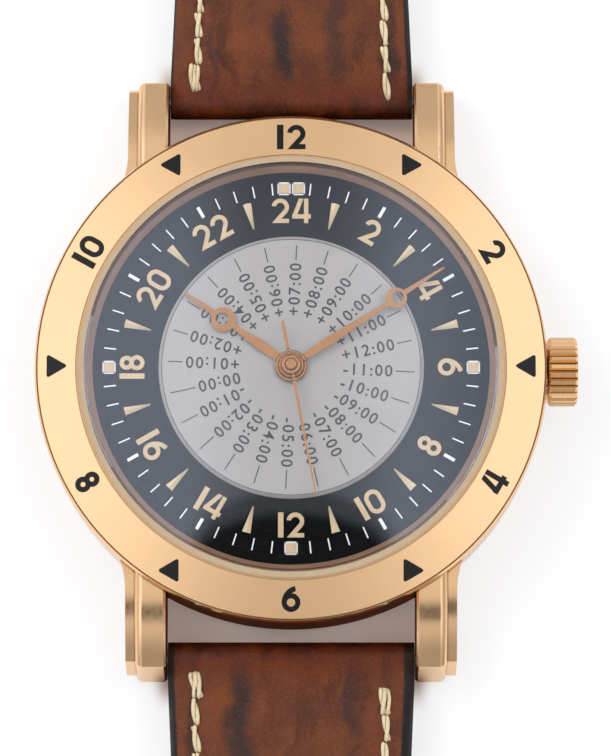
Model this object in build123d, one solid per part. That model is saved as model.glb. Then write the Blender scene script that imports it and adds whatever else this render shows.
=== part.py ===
from build123d import *
import math
import os

# World time wristwatch on an open leather strap, lying on its case back.
# Millimetres. The origin is the centre of the case back's flat face, +Z is up through the dial,
# +Y points to 12 o'clock and +X to the crown at 3 o'clock. The hands turn on the Z axis.

os.makedirs("parts", exist_ok=True)

BASE = (Align.CENTER, Align.CENTER, Align.MIN)

# Clearances and the overrun of cuts
run_gap = 0.03
press_gap = 0.02
plate_gap = 0.05
cut_over = 1.0

# Barrel, the largest wheel, which sets how large the movement is
barrel_teeth = 80
centre_pinion_teeth = 10
barrel_distance = 6.3
barrel_drum_in = 0.3
barrel_pitch_r = barrel_distance * barrel_teeth / (barrel_teeth + centre_pinion_teeth)
barrel_drum_r = barrel_pitch_r - barrel_drum_in

# Radii from the movement outward to the bezel
movement_edge = 1.2
ring_wall = 2.1
back_ledge = 1.45
back_flange = 1.2
case_foot_wall = 0.3
case_foot_slope = 1.6
dial_ledge = 0.6
dial_bore_gap = 0.08
gasket_wall = 0.45
neck_wall = 1.3
movement_r = barrel_distance + barrel_drum_r + movement_edge
ring_bore_r = movement_r + plate_gap
ring_r = ring_bore_r + ring_wall
movement_bore_r = ring_r + plate_gap
back_bore_r = movement_bore_r + back_ledge
back_neck_r = back_bore_r - plate_gap
back_r = back_neck_r + back_flange
case_foot_r = back_r + case_foot_wall
case_r = case_foot_r + case_foot_slope
dial_r = movement_bore_r + dial_ledge
dial_bore_r = dial_r + dial_bore_gap
crystal_r = dial_bore_r + plate_gap
gasket_inner_r = crystal_r + press_gap
bezel_bore_r = gasket_inner_r + gasket_wall
neck_r = bezel_bore_r + neck_wall

# Heights of the movement from the case back up
back_high = 1.0
rotor_gap = 0.15
rotor_web = 0.25
rotor_over = 0.1
auto_thick = 0.25
auto_wheel_thick = 0.15
reduction_gap = 0.08
reduction_thick = 0.12
bridge_gap = 0.15
bridge_thick = 0.4
train_room = 1.8
plate_thick = 1.1
case_low = back_high
rotor_low = case_low + rotor_gap
rotor_web_top = rotor_low + rotor_web
auto_low = rotor_web_top + rotor_over
auto_top = auto_low + auto_thick
auto_wheel_low = auto_top + plate_gap
auto_wheel_high = auto_wheel_low + auto_wheel_thick
reduction_low = auto_wheel_high + reduction_gap
reduction_high = reduction_low + reduction_thick
bridge_low = reduction_high + bridge_gap
bridge_top = bridge_low + bridge_thick
plate_low = bridge_top + train_room
plate_top = plate_low + plate_thick

# Heights of the motion work, the dial and the hands from the main plate up
motion_gap = 0.08
wheel_thick = 0.15
motion_step = 0.07
motion_pinion_over = 0.03
dial_gap = 0.1
dial_thick = 0.4
city_disc_gap = 0.06
city_disc_thick = 0.24
hour_gap = 0.18
minute_gap = 0.34
seconds_gap = 0.36
seconds_hub_high = 0.52
motion_low = plate_top + motion_gap
motion_mid = motion_low + wheel_thick
hour_wheel_low = motion_mid + motion_step
hour_wheel_high = hour_wheel_low + wheel_thick
city_wheel_low = hour_wheel_high + motion_step
city_wheel_high = city_wheel_low + wheel_thick
motion_pinion_top = city_wheel_high + motion_pinion_over
dial_low = motion_pinion_top + dial_gap
ring_top = dial_low - plate_gap
dial_top = dial_low + dial_thick
city_disc_low = dial_top + city_disc_gap
city_disc_top = city_disc_low + city_disc_thick
hour_low = city_disc_top + hour_gap
minute_low = hour_low + minute_gap
seconds_low = minute_low + seconds_gap
seconds_hub_top = seconds_low + seconds_hub_high

# Case
case_foot_high = 0.7
case_over_dial_seat = 0.3
neck_high = 0.7
back_bore_deep = 1.4
case_foot_top = case_low + case_foot_high
case_top = dial_low + case_over_dial_seat
neck_top = case_top + neck_high
back_bore_top = case_low + back_bore_deep

# Case back
back_edge = 0.3
back_neck_wall = 0.8
back_gasket_wide = 0.65
back_gasket_thick = 0.2
notch_count = 6
notch_width = 2.2
notch_depth = 0.7
notch_height = 0.45
back_gasket_inner_r = back_neck_r - back_gasket_wide
back_neck_top = back_bore_top - back_gasket_thick

# Bezel
bezel_over = 0.05
bezel_chamfer = 0.25
bezel_line_wide = 0.1
bezel_line_deep = 0.1
bezel_lip = 0.1
bezel_high = 1.2
bezel_slope = 0.28
bezel_round = 0.35
bezel_side_rise = 0.05
bezel_r = case_r + bezel_over
bezel_flat_r = bezel_r - bezel_chamfer
bezel_lip_r = bezel_bore_r + bezel_lip
bezel_top_in_r = bezel_lip_r + bezel_line_wide
bezel_inner_top = case_top + bezel_high
bezel_flat_edge_z = bezel_inner_top - bezel_slope
bezel_round_z = bezel_flat_edge_z - bezel_round
bezel_side_low = case_top + bezel_side_rise
bezel_mid_r = (bezel_bore_r + bezel_flat_r) / 2

# Black enamel figures and triangles in the bezel
enamel_depth = 0.1
enamel_sunk = 0.03
bezel_digit_out = 0.05
bezel_digit_height = 1.95
bezel_digit_stroke = 0.4
bezel_digit_space = 0.28
triangle_out = 0.3
triangle_side = 1.88
triangle_round = 0.14
bezel_digit_r = bezel_mid_r + bezel_digit_out
triangle_r = bezel_mid_r + triangle_out

# Crystal, its gasket and the ring under it
crystal_seat = 0.2
crystal_edge = 0.85
crystal_under_rise = 1.5
crystal_over_rise = 1.65
gasket_over = 0.06
rehaut_wide = 0.55
rehaut_top_wide = 0.1
crystal_low = neck_top + crystal_seat
crystal_edge_top = crystal_low + crystal_edge
gasket_top = bezel_inner_top + gasket_over
rehaut_low_r = dial_r - rehaut_wide
rehaut_high_r = dial_r - rehaut_top_wide

# Spring bars and their places
bar_out = 2.3
bar_up = 0.9
bar_r = 0.75
bar_shoulder_gap = 0.4
bar_pin_r = 0.38
bar_pin_reach = 0.95
bar_flange_r = 0.9
bar_flange = 0.35
bar_y = case_r + bar_out
bar_z = case_low + bar_up

# Lugs: widths along X, then places before and beyond the spring bar, then heights
lug_gap_half = 9.5
lug_wide = 2.35
step_wide = 0.75
step_flare_wide = 0.4
lug_root_in = 4.9
flare_in = 2.6
lug_level_in = 2.9
lug_shoulder_in = 2.2
lug_tip_out = 0.92
lug_end_out = 1.65
lug_low_out = 0.8
lug_root_down = 0.1
lug_shoulder_down = 0.47
lug_tip_down = 1.75
lug_end_up = 0.4
lug_end_low_up = -0.15
lug_low_up = -0.3
lug_root_low_up = 0.15
step_drop = 0.85
step_short = 0.5
step_overlap = 0.3
lug_tip_round = 0.4
lug_end_round = 0.25
lug_outer_round = 0.55
lug_inner_bevel = 0.18
lug_outer = lug_gap_half + lug_wide
step_outer = lug_outer + step_wide
step_flare = step_outer + step_flare_wide
bar_shoulder = 2 * (lug_gap_half - bar_shoulder_gap)
lug_root_y = case_r - lug_root_in
flare_start_y = case_r - flare_in
lug_level_y = case_r - lug_level_in
lug_shoulder_y = bar_y - lug_shoulder_in
lug_tip_y = bar_y + lug_tip_out
lug_end_y = bar_y + lug_end_out
lug_low_y = bar_y + lug_low_out
lug_root_top = case_top - lug_root_down
lug_shoulder_top = case_top - lug_shoulder_down
lug_tip_top = case_top - lug_tip_down
lug_end_z = case_low + lug_end_up
lug_end_low = case_low + lug_end_low_up
lug_low = case_low + lug_low_up
lug_root_low = case_low + lug_root_low_up

# Crown, its tube and the outer end of the stem
stem_up = 0.4
crown_r = 2.635
crown_gap = 0.15
crown_long = 2.2
crown_flutes = 26
flute_depth = 0.26
flute_share = 0.2
crown_bevel = 0.2
crown_cavity_r = 1.75
crown_end_wall = 0.64
crown_gasket_in = 0.2
crown_gasket_wide = 0.25
tube_r = 1.2
tube_bore_r = 0.75
tube_root = 0.2
tube_end_gap = 0.2
tube_collar_r = 1.65
tube_collar_wide = 0.25
stem_z = plate_low + stem_up
crown_inner_x = case_r + crown_gap
crown_outer_x = crown_inner_x + crown_long
crown_cavity_x = crown_outer_x - crown_end_wall
crown_gasket_x = crown_inner_x + crown_gasket_in
tube_inner_x = movement_bore_r + tube_root
tube_outer_x = crown_cavity_x - tube_end_gap
tube_collar_x = case_r

# Winding and setting work along the stem, from the movement's edge inward
winding_pinion_in = 3.8
winding_pinion_long = 1.3
winding_pinion_r = 1.0
winding_pinion_teeth = 14
clutch_gap = 0.1
clutch_long = 1.45
clutch_groove_out = 0.55
clutch_groove_wide = 0.3
clutch_groove_r = 0.7
stem_r = 0.5
stem_pilot_r = 0.28
stem_pilot_long = 0.75
stem_pilot_gap = 0.25
stem_square = 0.62
stem_groove_in = 1.75
stem_groove_wide = 0.4
stem_groove_r = 0.3
plate_slot_out = 0.45
plate_slot_half = 1.15
winding_pinion_x = movement_r - winding_pinion_in
clutch_x = winding_pinion_x - clutch_gap - clutch_long
clutch_groove_x = clutch_x + clutch_groove_out
stem_square_end_x = winding_pinion_x - plate_gap
stem_pilot_end_x = clutch_x - stem_pilot_gap
stem_start_x = stem_pilot_end_x - stem_pilot_long
stem_groove_x = movement_r - stem_groove_in
plate_slot_start_x = stem_start_x + plate_slot_out

# Setting lever and yoke
lever_up = 0.35
lever_thick = 0.2
lever_pivot_in = 0.05
lever_pivot_y = 2.4
lever_wide = 0.6
lever_pin_r = 0.15
lever_pin_up = 0.44
yoke_pivot_out = 0.25
yoke_pivot_y = -3.1
yoke_wide = 0.55
yoke_pin_y = -0.86
yoke_pin_r = 0.1
yoke_pin_up = 0.1
pivot_post_r = 0.3
pivot_post_deep = 0.5
lever_low = plate_top + lever_up
lever_high = lever_low + lever_thick
lever_pin_x = stem_groove_x + stem_groove_wide / 2
lever_pivot_x = lever_pin_x - lever_pivot_in
lever_pin_low = stem_z + lever_pin_up
yoke_pin_x = clutch_groove_x + clutch_groove_wide / 2
yoke_pivot_x = yoke_pin_x + yoke_pivot_out
yoke_pin_low = stem_z + yoke_pin_up
pivot_post_low = plate_top - pivot_post_deep

# Crown wheel, ratchet wheel and click
ratchet_teeth = 54
crown_wheel_teeth = 38
crown_wheel_in = 1.7
winding_up = 0.38
winding_thick = 0.22
contrate_r = 2.3
contrate_inner_r = 1.9
contrate_gap = 0.04
contrate_slots = 28
contrate_slot_wide = 0.16
contrate_slot_deep = 0.2
ratchet_screw_r = 0.7
click_out = 5.35
click_direction = 150
click_long = 1.5
click_wide = 0.7
click_pin_r = 0.25
crown_wheel_x = winding_pinion_x - crown_wheel_in
winding_low = bridge_top + winding_up
winding_high = winding_low + winding_thick
contrate_top = stem_z - winding_pinion_r - contrate_gap

# Dial and what it carries
dial_hole_r = 1.2
dial_foot_r = 0.35
dial_foot_in = 1.2
dial_foot_deep = 0.6
dial_foot_angles = (65, 245)
dial_ring_wide = 5.55
city_disc_bevel = 0.2
dial_digit_out = 2.0
dial_digit_height = 1.9
dial_digit_stroke = 0.33
dial_digit_space = 0.24
dial_digit_thick = 0.18
wedge_outer_out = 3.0
wedge_inner_out = 0.95
wedge_wide = 0.65
wedge_tip_wide = 0.12
wedge_high = 0.26
wedge_tip_high = 0.12
square_in = 1.8
square_side = 0.74
square_high = 0.12
square_pair_step = 1.1
dial_foot_circle_r = movement_r - dial_foot_in
dial_foot_low = plate_top - dial_foot_deep
city_disc_r = dial_r - dial_ring_wide
dial_digit_r = city_disc_r + dial_digit_out
wedge_outer_r = city_disc_r + wedge_outer_out
wedge_inner_r = city_disc_r + wedge_inner_out
square_r = dial_r - square_in

# Hands: the angles they point to, clockwise from 12 o'clock, then the outline of each along +Y
hand_thick = 0.15
seconds_thick = 0.1
hub_over = 0.12
hub_edge = 0.07
hour_angle = 304.75
minute_angle = 57.0
seconds_angle = 169.3
hour_hub_r = 1.21
minute_hub_r = 0.95
seconds_hub_r = 0.73
seconds_cap_r = 0.43
hour_tip_in = 0.15
hour_ring_y = 6.25
hour_ring_r = 0.945
hour_ring_hole_r = 0.48
hour_ring_hole_shift = 0.12
hour_leaf_y = 2.7
hour_leaf_wide = 0.8
hour_waist_y = 5.3
hour_waist_wide = 0.34
hour_tip_wide = 0.16
hour_tip_root_wide = 0.56
minute_tip_in = 1.7
minute_ring_in = 0.55
minute_ring_r = 0.8
minute_ring_hole_r = 0.45
minute_ring_hole_shift = 0.12
minute_leaf_y = 3.4
minute_leaf_wide = 0.66
minute_waist_before_ring = 0.7
minute_waist_wide = 0.3
minute_tip_wide = 0.13
minute_tip_root_wide = 0.46
seconds_tail = 3.4
seconds_wide = 0.24
seconds_tip_wide = 0.13
hour_reach = city_disc_r - hour_tip_in
minute_reach = dial_r - minute_tip_in
minute_ring_y = city_disc_r - minute_ring_in
minute_waist_y = minute_ring_y - minute_waist_before_ring
seconds_reach = city_disc_r

# Pipes on the hand axis: each wall, with the running gap to the next pipe
seconds_arbor_r = 0.13
pipe_gap = 0.04
centre_arbor_wall = 0.17
cannon_wall = 0.18
hour_pipe_wall = 0.22
city_pipe_wall = 0.25
centre_arbor_bore_r = seconds_arbor_r + pipe_gap
centre_arbor_r = centre_arbor_bore_r + centre_arbor_wall
cannon_bore_r = centre_arbor_r + run_gap
cannon_r = cannon_bore_r + cannon_wall
hour_pipe_bore_r = cannon_r + run_gap
hour_pipe_r = hour_pipe_bore_r + hour_pipe_wall
city_pipe_bore_r = hour_pipe_r + run_gap
city_pipe_r = city_pipe_bore_r + city_pipe_wall

# Bridges, posts and jewels
bridge_in = 0.5
bridge_pillar_r = 0.9
pivot_r = 0.09
arbor_r = 0.15
auto_r = 6.8
auto_post_r = 0.55
auto_post_circle_r = 5.5
cock_wide = 2.4
cock_foot_r = 0.95
cock_foot_x = 8.3
cock_foot_y = -8.3
jewel_r = 0.5
jewel_hole_r = 0.12
jewel_thick = 0.22
bridge_r = movement_r - bridge_in

# Teeth: height of the tip and depth of the root as shares of the module
tip_share = 0.8
root_share = 1.1
rim_share = 0.8
spoke_hole_share = 0.29

# Going train: tooth counts, centre distances, directions and heights
centre_teeth = 75
third_pinion_teeth = 10
third_teeth = 80
fourth_pinion_teeth = 10
fourth_teeth = 80
escape_pinion_teeth = 8
barrel_direction = 70
third_distance = 4.5
third_direction = 200
escape_distance = 4.35
escape_direction = -75
fourth_up = 0.1
fourth_pinion_over = 0.05
centre_up = 0.7
centre_arbor_down = 0.5
centre_pinion_up = 0.07
centre_pinion_gap = 0.1
barrel_gap = 0.08
barrel_thick = 0.77
barrel_teeth_up = 0.3
barrel_teeth_thick = 0.2
barrel_wall = 0.25
barrel_floor = 0.12
barrel_arbor_r = 0.6
mainspring_turns = 7
mainspring_thick = 0.14
mainspring_inner_r = 1.0
mainspring_gap = 0.25
escape_teeth = 20
escape_r = 2.0
escape_down = 0.8
escape_root_share = 0.8
escape_pinion_thick = 0.22
fourth_low = bridge_top + fourth_up
third_low = fourth_low + wheel_thick + plate_gap
fourth_pinion_top = third_low + wheel_thick + fourth_pinion_over
centre_low = bridge_top + centre_up
centre_pinion_low = centre_low + wheel_thick + centre_pinion_up
centre_pinion_top = plate_low - centre_pinion_gap
third_pinion_top = centre_pinion_low
mainspring_outer_r = barrel_drum_r - barrel_wall - mainspring_gap
barrel_top = plate_low - barrel_gap
barrel_low = barrel_top - barrel_thick
barrel_teeth_low = barrel_low + barrel_teeth_up
barrel_teeth_top = barrel_teeth_low + barrel_teeth_thick
escape_low = plate_low - escape_down
escape_pinion_top = fourth_low + escape_pinion_thick
arbor_low = bridge_low + plate_gap
arbor_top = plate_low + bridge_thick

# Regulating parts
pallet_distance = 2.75
balance_distance = 8.5
pallet_arm_angle = 42
pallet_arm_wide = 0.3
pallet_arm_long = 1.55
pallet_lever_long = 0.72
pallet_lever_wide = 0.26
pallet_hub_r = 0.32
pallet_stone_gap = 0.2
balance_r = 3.9
balance_rim = 0.4
balance_up = 0.45
balance_thick = 0.25
balance_arm_wide = 0.4
balance_screw_r = 0.16
balance_screw_long = 0.3
roller_r = 0.5
roller_gap = 0.08
roller_thick = 0.14
roller_pin_out = 0.38
roller_pin_r = 0.07
roller_pin_over = 0.15
hairspring_up = 0.12
hairspring_wide = 0.18
hairspring_turns = 9
hairspring_thick = 0.06
hairspring_inner_r = 0.45
hairspring_outer_r = 2.5
stud_r = 0.14
balance_low = bridge_top + balance_up
balance_high = balance_low + balance_thick
roller_low = balance_high + roller_gap
roller_high = roller_low + roller_thick
roller_pin_top = escape_low + roller_pin_over
hairspring_low = bridge_top + hairspring_up
hairspring_high = hairspring_low + hairspring_wide

# Motion work under the dial
cannon_teeth = 12
minute_wheel_teeth = 36
minute_pinion_teeth = 10
hour_wheel_teeth = 40
city_wheel_teeth = 80
setting_wheel_teeth = 16
minute_wheel_distance = 3.0
minute_wheel_direction = -20
setting_direction = 15

# Automatic winding
rotor_in = 0.3
rotor_rim_wide = 1.9
rotor_rim_gap = 0.1
rotor_hub_r = 0.72
rotor_hub_over = 0.1
rotor_web_hole_r = 2.3
rotor_teeth = 12
reversing_teeth = 36
reversing_pinion_teeth = 10
reduction_teeth = 48
reversing_distance = 3.36
reversing_direction = 40
reduction_distance = 2.9
reduction_direction = 75
bearing_outer_r = 1.6
bearing_race_r = 1.22
bearing_balls = 8
ball_r = 0.15
ball_circle_r = 0.97
rotor_r = movement_r - rotor_in
rotor_rim_r = rotor_r - rotor_rim_wide
rotor_rim_top = bridge_low - rotor_rim_gap
rotor_hub_top = auto_wheel_high + rotor_hub_over

# Screws: head radius, head height and shank radius
screw_r = 0.38
screw_head = 0.16
screw_shank_r = 0.2
screw_slot = 0.1
screw_long = 1.0

# Strap: widths and radii, then places along it from the spring bar, then heights
strap_side_gap = 0.08
strap_loop_r = 1.3
strap_wide = 16.0
strap_taper_long = 33.3
strap_hole_gap = 0.08
strap_pad_out = 3.8
strap_pad_up = 2.3
strap_thin_out = 38.3
strap_thin = 2.4
buckle_half_long = 75.0
buckle_half_low = 1.0
tail_half_long = 115.0
tail_low_out = 14.3
tail_tip_long = 6.5
strap_hole_r = 0.85
strap_holes = 7
strap_hole_step = 6.5
strap_hole_first = 27.0
strap_end_r = 1.35
strap_slot_wide = 2.6
strap_slot_long = 6.0
strap_lug_wide = 2 * (lug_gap_half - strap_side_gap)
strap_taper_end = bar_y + strap_taper_long
strap_pad_y = bar_y + strap_pad_out
strap_pad_top = bar_z + strap_pad_up
strap_thin_y = bar_y + strap_thin_out
tail_low_y = bar_y + tail_low_out

# Buckle
buckle_bar_up = 0.75
buckle_bar_r = 0.6
buckle_side_gap = 0.3
buckle_arm = 2.0
buckle_inner_long = 9.0
buckle_cross = 2.2
buckle_high = 2.5
buckle_low = 0.0
buckle_behind = 1.3
buckle_round = 0.5
buckle_corner = 3.0
buckle_pin_reach = 1.3
tongue_wide = 1.7
tongue_high = 0.9
tongue_eye_r = 1.2
tongue_over = 0.6
tongue_gap = 0.06
buckle_bar_z = buckle_half_low + buckle_bar_up
buckle_inner_wide = strap_wide + 2 * buckle_side_gap

# Keepers
keeper_wall = 0.9
keeper_long = 5.0
keeper_side_gap = 0.25
keeper_inner_high = 5.0
keeper_round = 0.6
fixed_keeper_back = 9.5
free_keeper_back = 24.0


def polar(radius, degrees):
    """The point at a radius and an angle from +X."""
    angle = math.radians(degrees)
    return (radius * math.cos(angle), radius * math.sin(angle))


def beside(point, distance, degrees):
    """The point at a distance and direction from another."""
    step = polar(distance, degrees)
    return (point[0] + step[0], point[1] + step[1])


def dial_place(hour_share, radius):
    """The point on the dial at a share of a full turn, clockwise from 12 o'clock."""
    return polar(radius, 90 - 360 * hour_share)


def disc(radius, low, high, at=(0, 0)):
    """A round plate between two heights."""
    return Pos(at[0], at[1], low) * Cylinder(radius, high - low, align=BASE)


def ring(outer, inner, low, high, at=(0, 0)):
    """A flat ring between two heights."""
    return disc(outer, low, high, at) - disc(inner, low - cut_over, high + cut_over, at)


def rod(radius, start, end):
    """A round bar along X on the stem's axis."""
    return Pos(start, 0, stem_z) * Rot(0, 90, 0) * Cylinder(radius, end - start, align=BASE)


def cross_rod(radius, half_long, y, z):
    """A round bar along X, centred on the middle plane."""
    return Pos(0, y, z) * Rot(0, 90, 0) * Cylinder(radius, 2 * half_long)


def turned(*points):
    """A solid turned on the Z axis from (radius, height) points."""
    outline = Plane.XZ * make_face(Polyline(*points, close=True))
    return revolve(outline, axis=Axis.Z, revolution_arc=360)


def plate(points, low, high):
    """A flat plate with a straight-sided outline."""
    return Pos(0, 0, low) * extrude(make_face(Polyline(*points, close=True)), high - low)


def side_cut(points, start, end):
    """A solid between two X planes from (y, z) points of its side view."""
    outline = Plane.YZ * make_face(Polyline(*points, close=True))
    return Pos(start, 0, 0) * extrude(outline, end - start)


def bar_between(first, second, wide, low, high):
    """A flat bar with round ends between two points."""
    long = math.dist(first, second)
    angle = math.degrees(math.atan2(second[1] - first[1], second[0] - first[0]))
    middle = ((first[0] + second[0]) / 2, (first[1] + second[1]) / 2)
    outline = SlotCenterToCenter(long, wide)
    return Pos(middle[0], middle[1], low) * Rot(0, 0, angle) * extrude(outline, high - low)


def mirrored(shape):
    """The same solid on the other side of the Y axis."""
    return mirror(shape, about=Plane.YZ)


def group(*shapes):
    """Separate solids that share a node."""
    solids = []
    for shape in shapes:
        solids.extend(shape.solids())
    return Compound(children=solids)


def module_of(distance, teeth, other_teeth):
    """The module that makes two wheels mesh at a distance."""
    return 2 * distance / (teeth + other_teeth)


def gear(teeth, module, low, high, at, toward, gap_there=False):
    """A wheel with V teeth: a tip, or else a gap, points in the direction toward."""
    pitch_r = teeth * module / 2
    half_step = 180 / teeth
    first = toward + half_step if gap_there else toward
    points = []
    for tooth in range(teeth):
        angle = first + 2 * half_step * tooth
        points.append(beside(at, pitch_r + tip_share * module, angle))
        points.append(beside(at, pitch_r - root_share * module, angle + half_step))
    return plate(points, low, high)


def spoked(wheel, radius, at, low, high):
    """A wheel with its four round openings."""
    for quarter in range(4):
        hole_at = beside(at, radius * (1 - rim_share / 2), 45 + 90 * quarter)
        wheel -= disc(radius * spoke_hole_share, low - cut_over, high + cut_over, hole_at)
    return wheel


def arbor(at, low, high):
    """A wheel's shaft with a thinner pivot at each end."""
    shaft = disc(arbor_r, low + bridge_thick, high - bridge_thick, at)
    return shaft + disc(pivot_r, low, high, at)


def spiral(inner, outer, turns, thick, low, high, at):
    """A flat spiral strip, wound outward at a steady step."""
    steps = 20 * turns
    near = []
    far = []
    for step in range(steps + 1):
        radius = inner + (outer - inner) * step / steps
        angle = 360 * turns * step / steps
        near.append(beside(at, radius - thick / 2, angle))
        far.append(beside(at, radius + thick / 2, angle))
    return plate(near + far[::-1], low, high)


def screw(at, face):
    """A slotted screw seen from behind the movement, its head let in flush with a face."""
    head = disc(screw_r, face, face + screw_head, at)
    slot = Pos(at[0], at[1], face) * Box(2 * screw_r + cut_over, screw_slot, screw_head)
    return head - slot + disc(screw_shank_r, face + screw_head, face + screw_long, at)


def screw_seat(at, face):
    """The recess and the hole that a screw fills."""
    head = disc(screw_r, face - cut_over, face + screw_head, at)
    return head + disc(screw_shank_r, face, face + screw_long, at)


def figure_parts(figure, high, pen):
    """A plain figure's strokes, and the middles and radii of its closed bowls."""
    edge = pen / 2
    top = high - edge
    bowl_share = 0.262
    bowl = bowl_share * high
    mid = bowl + edge
    right = 2 * bowl + edge
    if figure == "0":
        upper = CenterArc((mid, top - bowl), bowl, 0, 180)
        lower = CenterArc((mid, edge + bowl), bowl, 180, 180)
        left = Line((edge, edge + bowl), (edge, top - bowl))
        far = Line((right, edge + bowl), (right, top - bowl))
        return [upper, lower, left, far], []
    if figure == "1":
        beside = Line((edge + edge / 2, 0), (edge + edge / 2, high))
        return [Line((edge, 0), (edge, high)), beside], []
    if figure == "2":
        cheek = CenterArc((mid, top - bowl), bowl, 172, -212)
        down = Line(cheek @ 1, (pen - edge / 2, 0))
        past = down @ 1 + down % 1 * pen
        foot = Line((pen, edge), (right + edge, edge))
        return [cheek, Line(down @ 0, past), foot], []
    if figure == "4":
        bar_share = 0.27
        stem_share = 0.56
        bar_over = 0.1 * high
        bar_y_at = bar_share * high
        stem_x = stem_share * high
        slope = Line((pen - edge, bar_y_at), (stem_x - pen - edge / 3, high))
        past = slope @ 1 + slope % 1 * pen
        bar = Line((0, bar_y_at), (stem_x + edge + bar_over, bar_y_at))
        stem = Line((stem_x, 0), (stem_x, high))
        return [Line(slope @ 0, past), bar, stem], []
    if figure == "6":
        bend_share = 0.66
        bend = (edge + bowl / 3, high * bend_share)
        back = ThreePointArc((edge, edge + bowl), bend, (right - bowl / 3, top))
        return [back], [((mid, edge + bowl), bowl)]
    small_share = 0.195
    small = small_share * high
    large = (high - pen - 2 * small) / 2
    return [], [((mid, top - small), small), ((mid, edge + large), large)]


def figure_face(figure, high, pen):
    """A figure as a flat outline with its lower left corner near the origin."""
    strokes, bowls = figure_parts(figure, high, pen)
    faces = [trace(line, pen) for line in strokes]
    faces += [Pos(at[0], at[1]) * Circle(radius + pen / 2) for at, radius in bowls]
    face = faces[0]
    for other in faces[1:]:
        face += other
    for at, radius in bowls:
        face -= Pos(at[0], at[1]) * Circle(radius - pen / 2)
    for y in (-high / 2, high + high / 2):
        face -= Pos(0, y) * Rectangle(4 * high, high)
    return face


def number_face(text, high, pen, space):
    """A whole number, centred on the origin."""
    placed = None
    x = 0
    for figure in text:
        face = figure_face(figure, high, pen)
        box = face.bounding_box()
        face = Pos(x - box.min.X, 0) * face
        placed = face if placed is None else placed + face
        x += box.size.X + space
    return Pos(-(x - space) / 2, -high / 2) * placed


def numbers(labels, radius, high, pen, space, thick, low):
    """Numbers round a circle: those in the lower half stand the other way up."""
    solids = []
    for text, turn_share, flipped in labels:
        face = number_face(text, high, pen, space)
        spin = -360 * turn_share + (180 if flipped else 0)
        at = dial_place(turn_share, radius)
        solids.append(Pos(at[0], at[1], low) * Rot(0, 0, spin) * extrude(face, thick))
    return group(*solids)


# Case parts

def lug_slab(drop, short, start, end):
    """A lug's side view as a solid between two X planes, lowered and shortened for the outer step."""
    root = (lug_root_y, lug_root_top - drop)
    level = (lug_level_y - short, lug_root_top - drop)
    shoulder = (lug_shoulder_y - short, lug_shoulder_top - drop)
    tip = (lug_tip_y - short, lug_tip_top - drop)
    outline = make_face([
        Line(root, level),
        ThreePointArc(level, shoulder, tip),
        Polyline(
            tip, (lug_end_y - short, lug_end_z), (lug_end_y - short, lug_end_low),
            (lug_low_y - short, lug_low), (lug_root_y, lug_root_low), root,
        ),
    ])
    tips = [v for v in outline.vertices() if v.X > lug_low_y - short and v.Y > lug_end_z + press_gap]
    outline = fillet(tips, lug_tip_round)
    ends = [v for v in outline.vertices() if v.X > lug_end_y - short - press_gap]
    outline = fillet(ends, lug_end_round)
    return Pos(start, 0, 0) * extrude(Plane.YZ * outline, end - start)


def lug():
    """The lug at 12 o'clock on the crown side, with its lower outer step that flares into the case."""
    main = lug_slab(0, 0, lug_gap_half, lug_outer)
    rim = [e for e in main.edges() if e.center().Z > lug_end_z or e.center().Y > lug_tip_y]
    outer = [e for e in rim if abs(e.center().X - lug_outer) < press_gap and e.center().Y > lug_level_y]
    main = fillet(outer, lug_outer_round)
    inner = [e for e in main.edges() if e.center().Z > lug_end_z and e.center().Y > lug_root_y + press_gap]
    inner = [e for e in inner if abs(e.center().X - lug_gap_half) < press_gap]
    main = chamfer(inner, lug_inner_bevel)
    inside = lug_outer - lug_outer_round - step_overlap
    step = lug_slab(step_drop, step_short, inside, step_flare)
    plan = make_face([
        Polyline((step_outer, flare_start_y), (step_outer, lug_end_y), (inside, lug_end_y), (inside, lug_root_y),
                 (step_flare, lug_root_y)),
        ThreePointArc(
            (step_flare, lug_root_y),
            (step_outer + (step_flare - step_outer) / 4, (flare_start_y + lug_root_y) / 2),
            (step_outer, flare_start_y),
        ),
    ])
    step &= extrude(plan, case_top)
    return main + step


def mid_case():
    body = turned(
        (neck_r, case_top),
        (neck_r, neck_top),
        (dial_bore_r, neck_top),
        (dial_bore_r, dial_low),
        (movement_bore_r, dial_low),
        (movement_bore_r, back_bore_top),
        (back_bore_r, back_bore_top),
        (back_bore_r, case_low),
        (case_foot_r, case_low),
        (case_r, case_foot_top),
        (case_r, case_top),
    )
    one = lug()
    pair = one + mirrored(one)
    lugs = pair + mirror(pair, about=Plane.XZ)
    lugs -= disc((case_foot_r + back_bore_r) / 2, case_low - cut_over, case_top + cut_over)
    body += lugs
    pin_hole_half = bar_shoulder / 2 + bar_pin_reach + lug_gap_half - bar_shoulder / 2 + press_gap
    for y in (bar_y, -bar_y):
        body -= cross_rod(bar_pin_r + press_gap, pin_hole_half, y, bar_z)
    body -= rod(tube_r, movement_bore_r - cut_over, case_r + cut_over)
    return body


def bezel_top_layer(down, thick):
    """The skin of the bezel's sloping top between two depths."""
    return turned(
        (bezel_top_in_r, bezel_inner_top - down),
        (bezel_flat_r, bezel_flat_edge_z - down),
        (bezel_flat_r, bezel_flat_edge_z - down - thick),
        (bezel_top_in_r, bezel_inner_top - down - thick),
    )


def triangle_prism(hour):
    """A black triangle with soft corners that points to the dial, as a tall prism."""
    at = dial_place(hour / 12, triangle_r)
    face = RegularPolygon(triangle_side / math.sqrt(3), 3)
    face = fillet(face.vertices(), triangle_round)
    spin = 90 - 360 * hour / 12 + 180
    low = bezel_flat_edge_z - 2 * enamel_depth - enamel_sunk
    high = bezel_inner_top + enamel_depth
    return Pos(at[0], at[1], low) * Rot(0, 0, spin) * extrude(face, high - low)


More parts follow.
